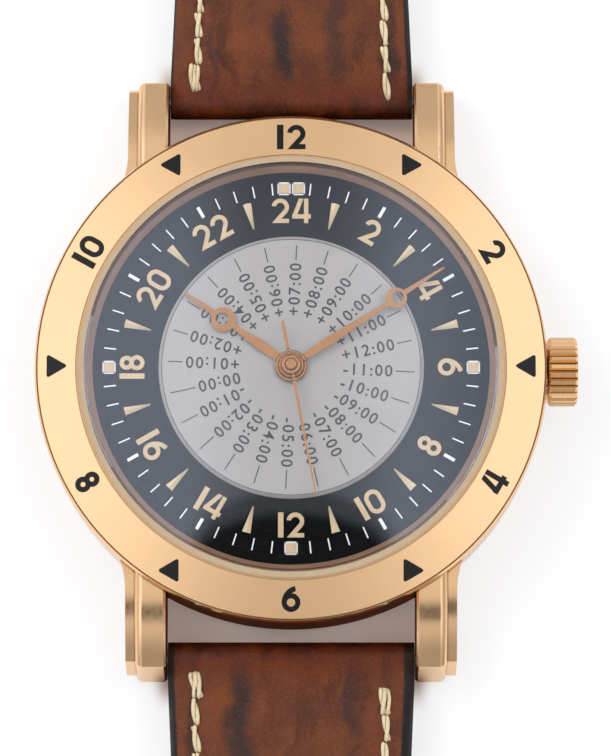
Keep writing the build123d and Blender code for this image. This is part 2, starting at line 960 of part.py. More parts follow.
def bezel_prisms():
    """The bezel's figures and triangles as tall prisms."""
    low = bezel_flat_edge_z - 2 * enamel_depth - enamel_sunk
    thick = bezel_inner_top + enamel_depth - low
    labels = [
        ("12", 0, False), ("2", 2 / 12, False), ("4", 4 / 12, True),
        ("6", 6 / 12, True), ("8", 8 / 12, True), ("10", 10 / 12, False),
    ]
    figures = numbers(
        labels, bezel_digit_r, bezel_digit_height, bezel_digit_stroke, bezel_digit_space, thick, low
    )
    marks = [triangle_prism(hour) for hour in (1, 3, 5, 7, 9, 11)]
    return group(figures, *marks)


def bezel_and_enamel():
    lip_low = bezel_inner_top - bezel_line_deep / 2
    line_low = bezel_flat_edge_z - bezel_line_deep
    blank = turned(
        (bezel_bore_r, bezel_inner_top),
        (bezel_lip_r, bezel_inner_top),
        (bezel_lip_r, lip_low),
        (bezel_top_in_r, lip_low),
        (bezel_top_in_r, bezel_inner_top),
        (bezel_flat_r, bezel_flat_edge_z),
        (bezel_flat_r, line_low),
        (bezel_flat_r + bezel_line_wide, line_low),
        (bezel_flat_r + bezel_line_wide, bezel_flat_edge_z),
        (bezel_r, bezel_round_z),
        (bezel_r, bezel_side_low),
        (case_r, case_top),
        (neck_r, case_top),
        (neck_r, neck_top),
        (bezel_bore_r, neck_top),
    )
    prisms = bezel_prisms()
    pocket = bezel_top_layer(-enamel_depth, 2 * enamel_depth + enamel_sunk)
    fill = bezel_top_layer(enamel_sunk, enamel_depth)
    enamel = []
    for prism in prisms.solids():
        blank -= prism & pocket
        enamel.append(prism & fill)
    return blank, group(*enamel)


def dome(edge_z, rise, radius):
    """A shallow dome's arc: its centre, a point half way out and its edge."""
    sphere_r = (radius ** 2 + rise ** 2) / (2 * rise)
    drop = sphere_r - math.sqrt(sphere_r ** 2 - (radius / 2) ** 2)
    return [(0, edge_z + rise), (radius / 2, edge_z + rise - drop), (radius, edge_z)]


def crystal():
    under = dome(crystal_low, crystal_under_rise, crystal_r)
    over = dome(crystal_edge_top, crystal_over_rise, crystal_r)
    outline = Plane.XZ * make_face([
        ThreePointArc(*over),
        Line(over[2], under[2]),
        ThreePointArc(under[2], under[1], under[0]),
        Line(under[0], over[0]),
    ])
    return revolve(outline, axis=Axis.Z, revolution_arc=360)


def crystal_gasket():
    return ring(bezel_bore_r, gasket_inner_r, neck_top, gasket_top)


def rehaut_ring():
    outer = dial_bore_r - press_gap
    return turned(
        (rehaut_low_r, dial_top), (rehaut_high_r, crystal_low), (outer, crystal_low), (outer, dial_top)
    )


def case_back():
    body = turned(
        (0, 0),
        (back_r - back_edge, 0),
        (back_r, back_edge),
        (back_r, case_low),
        (back_neck_r, case_low),
        (back_neck_r, back_neck_top),
        (back_neck_r - back_neck_wall, back_neck_top),
        (back_neck_r - back_neck_wall, case_low),
        (0, case_low),
    )
    for notch in range(notch_count):
        angle = 360 * notch / notch_count + 180 / notch_count
        cutter = Box(2 * notch_depth, notch_width, 2 * notch_height)
        body -= Rot(0, 0, angle) * Pos(back_r, 0, 0) * cutter
    return body


def case_back_gasket():
    return ring(back_neck_r, back_gasket_inner_r, back_neck_top, back_bore_top)


def spring_bar(y):
    pin_half = lug_gap_half + bar_pin_reach
    flange_half = bar_shoulder / 2
    bar = cross_rod(bar_r, bar_shoulder / 2, y, bar_z) + cross_rod(bar_pin_r, pin_half, y, bar_z)
    for side in (1, -1):
        flange = Pos(side * (flange_half - bar_flange / 2), y, bar_z) * Rot(0, 90, 0)
        bar += flange * Cylinder(bar_flange_r, bar_flange)
    return bar


def crown():
    points = []
    for flute in range(crown_flutes):
        pitch = 360 / crown_flutes
        angle = pitch * flute
        points.append(polar(crown_r, angle - flute_share * pitch))
        points.append(polar(crown_r, angle + flute_share * pitch))
        points.append(polar(crown_r - flute_depth, angle + pitch / 2))
    long = crown_outer_x - crown_inner_x
    fluted = extrude(make_face(Polyline(*points, close=True)), long)
    limit = turned(
        (0, 0),
        (crown_r - crown_bevel, 0),
        (crown_r, crown_bevel),
        (crown_r, long - crown_bevel),
        (crown_r - crown_bevel, long),
        (0, long),
    )
    knob = Pos(crown_inner_x, 0, stem_z) * Rot(0, 90, 0) * (fluted & limit)
    knob -= rod(crown_cavity_r, crown_inner_x - cut_over, crown_cavity_x)
    return knob + rod(tube_bore_r - press_gap, crown_cavity_x - cut_over, crown_cavity_x)


def crown_gasket():
    start = crown_gasket_x
    end = crown_gasket_x + crown_gasket_wide
    return rod(crown_cavity_r, start, end) - rod(tube_r + run_gap, start - cut_over, end + cut_over)


def crown_tube():
    tube = rod(tube_r, tube_inner_x, tube_outer_x)
    tube += rod(tube_collar_r, tube_collar_x, tube_collar_x + tube_collar_wide)
    return tube - rod(tube_bore_r, tube_inner_x - cut_over, tube_outer_x + cut_over)


def winding_stem():
    end = crown_cavity_x - cut_over
    shaft = rod(stem_r, stem_square_end_x, end)
    shaft += rod(stem_pilot_r, stem_start_x, stem_pilot_end_x)
    square_long = stem_square_end_x - stem_pilot_end_x
    square_mid = (stem_square_end_x + stem_pilot_end_x) / 2
    shaft += Pos(square_mid, 0, stem_z) * Box(square_long, stem_square, stem_square)
    groove_end = stem_groove_x + stem_groove_wide
    return shaft - (rod(stem_r + cut_over, stem_groove_x, groove_end) - rod(stem_groove_r, 0, groove_end))


# Dial parts

def dial_plate():
    body = ring(dial_r, dial_hole_r, dial_low, dial_top)
    for angle in dial_foot_angles:
        body += disc(dial_foot_r, dial_foot_low, dial_low, polar(dial_foot_circle_r, angle))
    return body


def hour_numerals():
    labels = []
    for hour in range(2, 26, 2):
        labels.append((str(hour), (hour % 24) / 24, 8 <= hour <= 16))
    return numbers(
        labels, dial_digit_r, dial_digit_height, dial_digit_stroke, dial_digit_space,
        dial_digit_thick, dial_top,
    )


def roof_face(x, wide, high):
    """A triangle across the X axis: the cross-section of a ridged marker."""
    corners = [(x, -wide / 2, 0), (x, wide / 2, 0), (x, 0, high)]
    return make_face(Polyline(*corners, close=True))


def hour_wedges():
    tip = roof_face(wedge_inner_r, wedge_tip_wide, wedge_tip_high)
    head = roof_face(wedge_outer_r, wedge_wide, wedge_high)
    wedge = loft([tip, head], ruled=True)
    return group(*[Pos(0, 0, dial_top) * Rot(0, 0, 90 - 15 * hour) * wedge for hour in range(1, 24, 2)])


def square_markers():
    block = Pos(0, square_r, dial_top) * Box(square_side, square_side, square_high, align=BASE)
    places = [Pos(square_pair_step / 2, 0, 0) * block, Pos(-square_pair_step / 2, 0, 0) * block]
    for quarter in (1, 2, 3):
        places.append(Rot(0, 0, 90 * quarter) * block)
    return group(*places)


def city_disc():
    edge_low = city_disc_top - city_disc_bevel
    return turned(
        (city_pipe_r, city_disc_low),
        (city_disc_r, city_disc_low),
        (city_disc_r, edge_low),
        (city_disc_r - city_disc_bevel, city_disc_top),
        (city_pipe_r, city_disc_top),
    )


def hand_outline(leaf_at, leaf_wide, waist_at, waist_wide, ring_at, ring_r, tip_root, tip, reach, hub_r):
    """A leaf, a ring and a pointed tip along +Y, as one outline without its holes."""
    neck_share = 0.35
    neck = neck_share * leaf_wide
    shoulder_at = hub_r + (leaf_at - hub_r) / 2
    leaf = make_face(Polyline(
        (-neck, 0), (-neck, hub_r),
        (-(neck + leaf_wide / 2) / 2, shoulder_at),
        (-leaf_wide / 2, leaf_at),
        (-waist_wide / 2, waist_at), (-waist_wide / 2, ring_at),
        (waist_wide / 2, ring_at), (waist_wide / 2, waist_at),
        (leaf_wide / 2, leaf_at),
        ((neck + leaf_wide / 2) / 2, shoulder_at),
        (neck, hub_r), (neck, 0), close=True,
    ))
    point = make_face(Polyline(
        (-tip_root / 2, ring_at), (-tip / 2, reach), (tip / 2, reach), (tip_root / 2, ring_at), close=True,
    ))
    return leaf + Pos(0, ring_at) * Circle(ring_r) + point


def hand_hub(radius, low, high):
    """A hand's round hub with a bevelled top edge."""
    return turned((0, low), (radius, low), (radius, high - hub_edge), (radius - hub_edge, high), (0, high))


def finish_hand(outline, hub_r, bore_r, low, thick, ring_at, hole_r, hole_shift, angle):
    """A hand cut from its outline, with its hub, bore and ring hole, turned to its place."""
    flat = outline - Pos(0, ring_at + hole_shift) * Circle(hole_r)
    hand = Pos(0, 0, low) * extrude(flat, thick)
    hand += hand_hub(hub_r, low - hub_over / 2, low + thick + hub_over)
    hand -= disc(bore_r, low - cut_over, low + thick + cut_over)
    return Rot(0, 0, -angle) * hand


def hour_hand():
    outline = hand_outline(
        hour_leaf_y, hour_leaf_wide, hour_waist_y, hour_waist_wide, hour_ring_y, hour_ring_r,
        hour_tip_root_wide, hour_tip_wide, hour_reach, hour_hub_r,
    )
    return finish_hand(
        outline, hour_hub_r, hour_pipe_r, hour_low, hand_thick,
        hour_ring_y, hour_ring_hole_r, hour_ring_hole_shift, hour_angle,
    )


def minute_hand():
    outline = hand_outline(
        minute_leaf_y, minute_leaf_wide, minute_waist_y, minute_waist_wide, minute_ring_y,
        minute_ring_r, minute_tip_root_wide, minute_tip_wide, minute_reach, minute_hub_r,
    )
    return finish_hand(
        outline, minute_hub_r, cannon_r, minute_low, hand_thick,
        minute_ring_y, minute_ring_hole_r, minute_ring_hole_shift, minute_angle,
    )


def seconds_hand():
    outline = Polyline(
        (-seconds_wide / 2, -seconds_tail), (-seconds_wide / 2, seconds_hub_r),
        (-seconds_tip_wide / 2, seconds_reach), (seconds_tip_wide / 2, seconds_reach),
        (seconds_wide / 2, seconds_hub_r), (seconds_wide / 2, -seconds_tail), close=True,
    )
    hand = Pos(0, 0, seconds_low) * extrude(make_face(outline), seconds_thick)
    hub_mid = (seconds_low + seconds_hub_top) / 2
    hand += hand_hub(seconds_hub_r, seconds_low - hub_over / 2, hub_mid)
    hand += hand_hub(seconds_cap_r, hub_mid, seconds_hub_top)
    hand -= disc(seconds_arbor_r, seconds_low - cut_over, seconds_hub_top - hub_over)
    return Rot(0, 0, -seconds_angle) * hand


# Places of the movement's wheels

origin = (0, 0)
barrel_at = polar(barrel_distance, barrel_direction)
third_at = polar(third_distance, third_direction)
escape_at = polar(escape_distance, escape_direction)
pallet_at = polar(escape_distance + pallet_distance, escape_direction)
balance_at = polar(balance_distance, escape_direction)
minute_wheel_at = polar(minute_wheel_distance, minute_wheel_direction)
crown_wheel_at = (crown_wheel_x, 0)
cock_foot_at = (cock_foot_x, cock_foot_y)
reversing_at = polar(reversing_distance, reversing_direction)
reduction_at = beside(reversing_at, reduction_distance, reduction_direction)
bridge_pillars = [polar(movement_r - 2 * bridge_pillar_r, angle) for angle in (155, 27, 215)]
auto_posts = [polar(auto_post_circle_r, angle) for angle in (160, 260, 330)]
cannon_module = module_of(minute_wheel_distance, cannon_teeth, minute_wheel_teeth)
hour_module = module_of(minute_wheel_distance, minute_pinion_teeth, hour_wheel_teeth)
city_module = module_of(minute_wheel_distance, minute_pinion_teeth, city_wheel_teeth)
setting_distance = cannon_module * (minute_wheel_teeth + setting_wheel_teeth) / 2
setting_at = beside(minute_wheel_at, setting_distance, setting_direction)


def direction(first, second):
    """The angle of the line from one point to another."""
    return math.degrees(math.atan2(second[1] - first[1], second[0] - first[0]))


# Motion work

def cannon_pinion():
    pinion = gear(cannon_teeth, cannon_module, motion_low, motion_mid, origin, minute_wheel_direction)
    pinion += disc(cannon_r, motion_low, minute_low + hand_thick)
    return pinion - disc(cannon_bore_r, motion_low - cut_over, minute_low + cut_over)


def minute_wheel():
    back = minute_wheel_direction + 180
    at = minute_wheel_at
    wheel = gear(minute_wheel_teeth, cannon_module, motion_low, motion_mid, at, back, True)
    wheel += gear(minute_pinion_teeth, hour_module, motion_mid, city_wheel_low - plate_gap, at, back)
    wheel += gear(minute_pinion_teeth, city_module, motion_mid, motion_pinion_top, at, back)
    wheel += disc(pivot_r, plate_top - screw_long, motion_low, at)
    return wheel


def setting_wheel():
    at = setting_at
    back = setting_direction + 180
    wheel = gear(setting_wheel_teeth, cannon_module, motion_low, motion_mid, at, back, True)
    return wheel + disc(pivot_r, plate_top - screw_long, motion_low, at)


def hour_wheel():
    wheel = gear(
        hour_wheel_teeth, hour_module, hour_wheel_low, hour_wheel_high, origin, minute_wheel_direction, True
    )
    wheel += disc(hour_pipe_r, hour_wheel_low, hour_low + hand_thick)
    return wheel - disc(hour_pipe_bore_r, hour_wheel_low - cut_over, hour_low + cut_over)


def city_wheel():
    wheel = gear(
        city_wheel_teeth, city_module, city_wheel_low, city_wheel_high, origin, minute_wheel_direction, True
    )
    wheel += disc(city_pipe_r, city_wheel_low, city_disc_top)
    return wheel - disc(city_pipe_bore_r, city_wheel_low - cut_over, city_disc_top + cut_over)


# Going train

def barrel():
    module = module_of(barrel_distance, barrel_teeth, centre_pinion_teeth)
    drum = gear(
        barrel_teeth, module, barrel_teeth_low, barrel_teeth_top, barrel_at, barrel_direction + 180, True
    )
    drum += disc(barrel_drum_r, barrel_low, barrel_top, barrel_at)
    inside = disc(
        barrel_drum_r - barrel_wall, barrel_low + barrel_floor, barrel_top - barrel_floor, barrel_at
    )
    bore = disc(barrel_arbor_r + run_gap, barrel_low - cut_over, barrel_top + cut_over, barrel_at)
    return drum - inside - bore


def mainspring():
    return spiral(
        mainspring_inner_r, mainspring_outer_r, mainspring_turns, mainspring_thick,
        barrel_low + barrel_floor + run_gap, barrel_top - barrel_floor - run_gap, barrel_at,
    )


def centre_wheel():
    module = module_of(third_distance, centre_teeth, third_pinion_teeth)
    pinion_module = module_of(barrel_distance, barrel_teeth, centre_pinion_teeth)
    high = centre_low + wheel_thick
    wheel = gear(centre_teeth, module, centre_low, high, origin, third_direction, True)
    wheel = spoked(wheel, centre_teeth * module / 2, origin, centre_low, high)
    wheel += gear(
        centre_pinion_teeth, pinion_module, centre_pinion_low, centre_pinion_top, origin, barrel_direction
    )
    wheel += disc(centre_arbor_r, centre_low, seconds_low - centre_arbor_down)
    return wheel - disc(centre_arbor_bore_r, centre_low - cut_over, seconds_low + cut_over)


def third_wheel():
    module = module_of(third_distance, third_teeth, fourth_pinion_teeth)
    pinion_module = module_of(third_distance, centre_teeth, third_pinion_teeth)
    back = third_direction + 180
    high = third_low + wheel_thick
    wheel = gear(third_teeth, module, third_low, high, third_at, back, True)
    wheel = spoked(wheel, third_teeth * module / 2, third_at, third_low, high)
    wheel += gear(third_pinion_teeth, pinion_module, high, third_pinion_top, third_at, back)
    return wheel + arbor(third_at, arbor_low, arbor_top)


def fourth_wheel():
    module = module_of(escape_distance, fourth_teeth, escape_pinion_teeth)
    pinion_module = module_of(third_distance, third_teeth, fourth_pinion_teeth)
    high = fourth_low + wheel_thick
    wheel = gear(fourth_teeth, module, fourth_low, high, origin, escape_direction, True)
    wheel = spoked(wheel, fourth_teeth * module / 2, origin, fourth_low, high)
    wheel += gear(fourth_pinion_teeth, pinion_module, high, fourth_pinion_top, origin, third_direction)
    return wheel + disc(seconds_arbor_r, arbor_low, seconds_hub_top - hub_over)


def escape_wheel():
    module = module_of(escape_distance, fourth_teeth, escape_pinion_teeth)
    points = []
    for tooth in range(escape_teeth):
        angle = 360 * tooth / escape_teeth
        points.append(beside(escape_at, escape_r, angle))
        points.append(beside(escape_at, escape_r * escape_root_share, angle + 90 / escape_teeth))
        points.append(beside(escape_at, escape_r * escape_root_share, angle + 270 / escape_teeth))
    high = escape_low + wheel_thick
    wheel = plate(points, escape_low, high)
    wheel = spoked(wheel, escape_r * escape_root_share, escape_at, escape_low, high)
    wheel += gear(
        escape_pinion_teeth, module, fourth_low, escape_pinion_top, escape_at, escape_direction + 180
    )
    return wheel + arbor(escape_at, arbor_low, arbor_top)


# Regulating parts

def pallet_fork():
    high = escape_low + wheel_thick
    lever_end = beside(pallet_at, pallet_lever_long, escape_direction)
    fork = bar_between(pallet_at, lever_end, pallet_lever_wide, escape_low, high)
    for side in (1, -1):
        toward = escape_direction + 180 + side * pallet_arm_angle
        arm_end = beside(pallet_at, pallet_arm_long, toward)
        fork += bar_between(pallet_at, arm_end, pallet_arm_wide, escape_low, high)
    fork -= disc(escape_r + pallet_stone_gap, escape_low - cut_over, high + cut_over, escape_at)
    fork += disc(pallet_hub_r, escape_low, high, pallet_at)
    return fork + disc(arbor_r, escape_low - wheel_thick, plate_low + jewel_thick, pallet_at)


def balance_wheel():
    rim = ring(balance_r, balance_r - balance_rim, balance_low, balance_high, balance_at)
    for angle in (0, 90):
        ends = [beside(balance_at, balance_r - balance_rim / 2, angle + half) for half in (0, 180)]
        rim += bar_between(ends[0], ends[1], balance_arm_wide, balance_low, balance_high)
    rim &= disc(balance_r, balance_low, balance_high, balance_at)
    middle = (balance_low + balance_high) / 2
    for quarter in range(4):
        angle = 45 + 90 * quarter
        at = beside(balance_at, balance_r - balance_rim - balance_screw_long / 2 + press_gap, angle)
        weight = Rot(0, 0, angle) * Rot(0, 90, 0) * Cylinder(balance_screw_r / 2, balance_screw_long)
        rim += Pos(at[0], at[1], middle) * weight
    rim += disc(roller_r, roller_low, roller_high, balance_at)
    rim += disc(roller_pin_r, roller_high, roller_pin_top, beside(balance_at, roller_pin_out, 0))
    rim += disc(arbor_r, bridge_top + plate_gap, plate_low - plate_gap, balance_at)
    return rim + disc(pivot_r, arbor_low, plate_low + jewel_thick, balance_at)


def hairspring():
    return spiral(
        hairspring_inner_r, hairspring_outer_r, hairspring_turns, hairspring_thick,
        hairspring_low, hairspring_high, balance_at,
    )


# Plates, bridges and small fixed parts

def jewel_places():
    """Where a jewel stands: its centre, its lower face and its upper face."""
    places = []
    for at in (third_at, escape_at):
        places.append((at, bridge_low, bridge_low + jewel_thick))
        places.append((at, plate_low, plate_low + jewel_thick))
    places.append((balance_at, bridge_low, bridge_low + jewel_thick))
    places.append((balance_at, plate_low, plate_low + jewel_thick))
    places.append((pallet_at, plate_low, plate_low + jewel_thick))
    return places


def jewels():
    return group(*[ring(jewel_r, jewel_hole_r, low, high, at) for at, low, high in jewel_places()[:6]],
                 ring(jewel_r, arbor_r + press_gap, plate_low, plate_low + jewel_thick, pallet_at))


def jewel_seats(plate_solid):
    """A plate with the holes that its jewels fill."""
    for at, low, high in jewel_places():
        plate_solid -= disc(jewel_r, low, high, at)
        plate_solid -= disc(arbor_r + plate_gap, low - cut_over / 2, high + cut_over / 2, at)
    return plate_solid


def main_plate():
    body = disc(movement_r, plate_low, plate_top)
    body = jewel_seats(body)
    body -= disc(centre_arbor_r + run_gap, plate_low - cut_over, plate_top + cut_over)
    slot_long = movement_r - plate_slot_start_x + cut_over
    slot_mid = plate_slot_start_x + slot_long / 2
    slot = Pos(slot_mid, 0, plate_low - cut_over)
    body -= slot * Box(slot_long, 2 * plate_slot_half, plate_top - plate_low + 2 * cut_over, align=BASE)
    body -= rod(stem_pilot_r + run_gap, stem_start_x - plate_gap, plate_slot_start_x + cut_over)
    for at in (minute_wheel_at, setting_at):
        body -= disc(pivot_r + run_gap, plate_top - screw_long - plate_gap, plate_top + cut_over, at)
    for angle in dial_foot_angles:
        at = polar(dial_foot_circle_r, angle)
        body -= disc(dial_foot_r, dial_foot_low - plate_gap, plate_top + cut_over, at)
    for at in ((lever_pivot_x, lever_pivot_y), (yoke_pivot_x, yoke_pivot_y)):
        body -= disc(pivot_post_r + run_gap, pivot_post_low - plate_gap, plate_top + cut_over, at)
    body -= disc(barrel_arbor_r + run_gap, plate_low - cut_over, plate_low + 3 * jewel_thick, barrel_at)
    return body


def train_bridge():
    body = disc(bridge_r, bridge_low, bridge_top)
    clear = balance_r + 2 * balance_screw_r
    body -= disc(clear, bridge_low - cut_over, bridge_top + cut_over, balance_at)
    outward = polar(bridge_r, direction(origin, cock_foot_at))
    body -= bar_between(balance_at, outward, 2 * cock_wide, bridge_low - cut_over, bridge_top + cut_over)
    for at in bridge_pillars:
        body += disc(bridge_pillar_r, bridge_top, plate_low, at)
    body = jewel_seats(body)
    for at in bridge_pillars:
        body -= screw_seat(at, bridge_low)
    for at in auto_posts:
        body -= disc(screw_shank_r, bridge_low - cut_over, auto_low + screw_long, at)
    for at in (reversing_at, reduction_at):
        body -= disc(pivot_r + run_gap, bridge_low - cut_over, bridge_top + cut_over, at)
    body -= disc(seconds_arbor_r + run_gap, bridge_low - cut_over, bridge_top + cut_over)
    for at in (barrel_at, crown_wheel_at):
        body -= disc(barrel_arbor_r + run_gap, bridge_low - cut_over, bridge_top + cut_over, at)
    click_at = beside(barrel_at, click_out, click_direction)
    body -= disc(click_pin_r + run_gap, bridge_low - cut_over, bridge_top + cut_over, click_at)
    return body.solids().sort_by(SortBy.VOLUME)[-1]


def balance_cock():
    body = bar_between(balance_at, cock_foot_at, cock_wide, bridge_low, bridge_top)
    body &= disc(movement_r - plate_gap, bridge_low, bridge_top)
    body += disc(cock_foot_r, bridge_top, plate_low, cock_foot_at)
    stud_at = beside(balance_at, hairspring_outer_r, 0)
    body += disc(stud_r, bridge_top, hairspring_low, stud_at)
    body = jewel_seats(body)
    return body - screw_seat(cock_foot_at, bridge_low)


def automatic_bridge():
    body = ring(auto_r, bearing_outer_r, auto_low, auto_top)
    for at in auto_posts:
        body += disc(auto_post_r, auto_top, bridge_low, at)
        body -= screw_seat(at, auto_low)
    for at in (reversing_at, reduction_at):
        body -= disc(pivot_r + run_gap, auto_low - cut_over, auto_top + cut_over, at)
    return body


def movement_ring():
    body = ring(ring_r, ring_bore_r, case_low, ring_top)
    return body - rod(tube_r + run_gap, ring_bore_r - cut_over, ring_r + cut_over)


def bridge_screws():
    screws = [screw(at, bridge_low) for at in bridge_pillars]
    screws.append(screw(cock_foot_at, bridge_low))
    for at in auto_posts:
        screws.append(screw(at, auto_low))
    return group(*screws)


# Winding work

def ratchet_wheel():
    distance = math.dist(barrel_at, crown_wheel_at)
    module = module_of(distance, ratchet_teeth, crown_wheel_teeth)
    toward = direction(barrel_at, crown_wheel_at)
    wheel = gear(ratchet_teeth, module, winding_low, winding_high, barrel_at, toward)
    wheel += disc(barrel_arbor_r, bridge_low, plate_low + 2 * jewel_thick, barrel_at)
    wheel += disc(ratchet_screw_r, bridge_top + plate_gap, winding_low, barrel_at)
    return wheel


def crown_wheel():
    distance = math.dist(barrel_at, crown_wheel_at)
    module = module_of(distance, ratchet_teeth, crown_wheel_teeth)
    toward = direction(crown_wheel_at, barrel_at)
    wheel = gear(crown_wheel_teeth, module, winding_low, winding_high, crown_wheel_at, toward, True)
    teeth_ring = ring(contrate_r, contrate_inner_r, winding_high, contrate_top, crown_wheel_at)
    for slot in range(contrate_slots):
        cutter = Box(contrate_r, contrate_slot_wide, 2 * contrate_slot_deep)
        angle = 360 * slot / contrate_slots
        at = beside(crown_wheel_at, contrate_r, angle)
        teeth_ring -= Pos(at[0], at[1], contrate_top) * Rot(0, 0, angle) * cutter
    wheel += teeth_ring
    return wheel + disc(barrel_arbor_r, bridge_low, winding_low, crown_wheel_at)


def click():
    at = beside(barrel_at, click_out, click_direction)
    tip = beside(at, click_long, click_direction - 90)
    body = bar_between(at, tip, click_wide, winding_low, winding_high)
    distance = math.dist(barrel_at, crown_wheel_at)
    module = module_of(distance, ratchet_teeth, crown_wheel_teeth)
    tips_r = ratchet_teeth * module / 2 + tip_share * module
    body -= disc(tips_r + plate_gap, winding_low - cut_over, winding_high + cut_over, barrel_at)
    body = body.solids().sort_by(SortBy.VOLUME)[-1]
    return body + disc(click_pin_r, bridge_low, winding_low, at)


def winding_pinion():
    points = []
    for tooth in range(winding_pinion_teeth):
        angle = 360 * tooth / winding_pinion_teeth
        points.append(polar(winding_pinion_r, angle))
        points.append(polar(clutch_groove_r, angle + 180 / winding_pinion_teeth))
    body = extrude(make_face(Polyline(*points, close=True)), winding_pinion_long)
    body = Pos(winding_pinion_x, 0, stem_z) * Rot(0, 90, 0) * body
    return body - rod(stem_r + run_gap, winding_pinion_x - cut_over, winding_pinion_x + 2 * cut_over)


def clutch_wheel():
    end = clutch_x + clutch_long
    body = rod(winding_pinion_r, clutch_x, end)
    groove_end = clutch_groove_x + clutch_groove_wide
    body -= rod(case_r, clutch_groove_x, groove_end) - rod(clutch_groove_r, 0, groove_end)
    hole = stem_square + 2 * run_gap
    return body - Pos(clutch_x, 0, stem_z) * Box(2 * clutch_long + cut_over, hole, hole)


def setting_lever():
    pivot = (lever_pivot_x, lever_pivot_y)
    pin = (lever_pin_x, 0)
    body = bar_between(pivot, pin, lever_wide, lever_low, lever_high)
    body += disc(pivot_post_r, pivot_post_low, lever_low, pivot)
    return body + disc(lever_pin_r, lever_pin_low, lever_low, pin)


def yoke():
    pivot = (yoke_pivot_x, yoke_pivot_y)
    pin = (yoke_pin_x, yoke_pin_y)
    body = bar_between(pivot, pin, yoke_wide, lever_low, lever_high)
    body += disc(pivot_post_r, pivot_post_low, lever_low, pivot)
    return body + disc(yoke_pin_r, yoke_pin_low, lever_low, pin)


# Automatic winding

def rotor():
    half = Box(2 * rotor_r, rotor_r, cut_over * 2, align=(Align.CENTER, Align.MIN, Align.CENTER))
    web = disc(rotor_r, rotor_low, rotor_web_top) & Pos(0, 0, rotor_web_top) * half
    web += disc(bearing_outer_r, rotor_low, rotor_web_top)
    for angle in (50, 90, 130):
        hole_at = polar(auto_r, angle)
        web -= disc(rotor_web_hole_r / 2, rotor_low - cut_over, rotor_web_top + cut_over, hole_at)
    rim = ring(rotor_r, rotor_rim_r, rotor_web_top, rotor_rim_top) & Pos(0, 0, rotor_rim_top) * half
    hub = disc(rotor_hub_r, rotor_web_top, rotor_hub_top)
    module = module_of(reversing_distance, rotor_teeth, reversing_teeth)
    pinion = gear(rotor_teeth, module, auto_wheel_low, auto_wheel_high, origin, reversing_direction)
    return web + rim + hub + pinion


def rotor_bearing():
    race = ring(bearing_outer_r, bearing_race_r - ball_r / 2, auto_low, auto_top)
    middle = (auto_low + auto_top) / 2
    race -= Pos(0, 0, middle) * Torus(ball_circle_r, ball_r + run_gap / 2)
    balls = []
    for ball in range(bearing_balls):
        at = polar(ball_circle_r, 360 * ball / bearing_balls)
        balls.append(Pos(at[0], at[1], middle) * Sphere(ball_r))
    return group(race, *balls)


def reversing_wheel():
    module = module_of(reversing_distance, rotor_teeth, reversing_teeth)
    back = reversing_direction + 180
    wheel = gear(reversing_teeth, module, auto_wheel_low, auto_wheel_high, reversing_at, back, True)
    pinion_module = module_of(reduction_distance, reversing_pinion_teeth, reduction_teeth)
    wheel += gear(
        reversing_pinion_teeth, pinion_module, auto_wheel_high, reduction_high, reversing_at,
        reduction_direction,
    )
    return wheel + disc(pivot_r, auto_low, bridge_top, reversing_at)


def reduction_wheel():
    module = module_of(reduction_distance, reversing_pinion_teeth, reduction_teeth)
    back = reduction_direction + 180
    wheel = gear(reduction_teeth, module, reduction_low, reduction_high, reduction_at, back, True)
    return wheel + disc(pivot_r, auto_low, bridge_top, reduction_at)


# Strap, buckle and keepers

def strap_plan(end, sign, tip_long):
    """The strap's outline from above: it narrows from the lugs, then runs to an arc or a square end."""
    half = strap_lug_wide / 2
    thin = strap_wide / 2
    corners = [
        (thin, sign * (end - tip_long)), (thin, sign * strap_taper_end),
        (half, sign * (bar_y + strap_loop_r)), (half, sign * bar_y),
    ]
    across = [(-x, y) for x, y in corners[::-1]]
    sides = Polyline(*corners, *across)
    if tip_long == 0:
        return make_face([sides, Line(sides @ 1, sides @ 0)])
    return make_face([sides, ThreePointArc(sides @ 1, (0, sign * end), sides @ 0)])


def strap_side(low_points, high_points):
    """The strap's solid side view, wider than the strap."""
    return side_cut(low_points + high_points[::-1], -strap_lug_wide, strap_lug_wide)


def strap_loop(sign):
    """The round end of the strap about the spring bar."""
    return cross_rod(strap_loop_r, strap_lug_wide / 2, sign * bar_y, bar_z)


def bar_hole(sign):
    """The clearance for the spring bar and its flanges."""
    flange_half = bar_shoulder / 2 + strap_hole_gap
    hole = cross_rod(bar_r + strap_hole_gap, strap_lug_wide, sign * bar_y, bar_z)
    for side in (1, -1):
        outer = strap_lug_wide / 2 + cut_over
        inner = flange_half - bar_flange - 2 * strap_hole_gap
        middle = side * (outer + inner) / 2
        place = Pos(middle, sign * bar_y, bar_z) * Rot(0, 90, 0)
        hole += place * Cylinder(bar_flange_r + strap_hole_gap, outer - inner)
    return hole


def strap_12():
    end = bar_y + buckle_half_long
    top_end = buckle_half_low + strap_thin
    low = [
        (bar_y, bar_z - strap_loop_r), (strap_pad_y + strap_loop_r, buckle_half_low),
        (end, buckle_half_low),
    ]
    high = [
        (bar_y, bar_z + strap_loop_r), (strap_pad_y, strap_pad_top),
        (strap_thin_y, top_end), (end, top_end),
    ]
    body = strap_side(low, high) & extrude(strap_plan(end, 1, 0), strap_pad_top + cut_over)
    body += strap_loop(1)
    body -= bar_hole(1)
    body += cross_rod(strap_end_r, strap_wide / 2, end, buckle_bar_z + (strap_end_r - strap_thin / 2) / 2)
    body -= cross_rod(buckle_bar_r + strap_hole_gap, strap_wide, end, buckle_bar_z)
    slot_mid = end + strap_end_r - strap_slot_long / 2
    slot = Box(strap_slot_wide, strap_slot_long, 4 * strap_pad_top)
    return body - Pos(0, slot_mid + press_gap, 0) * slot


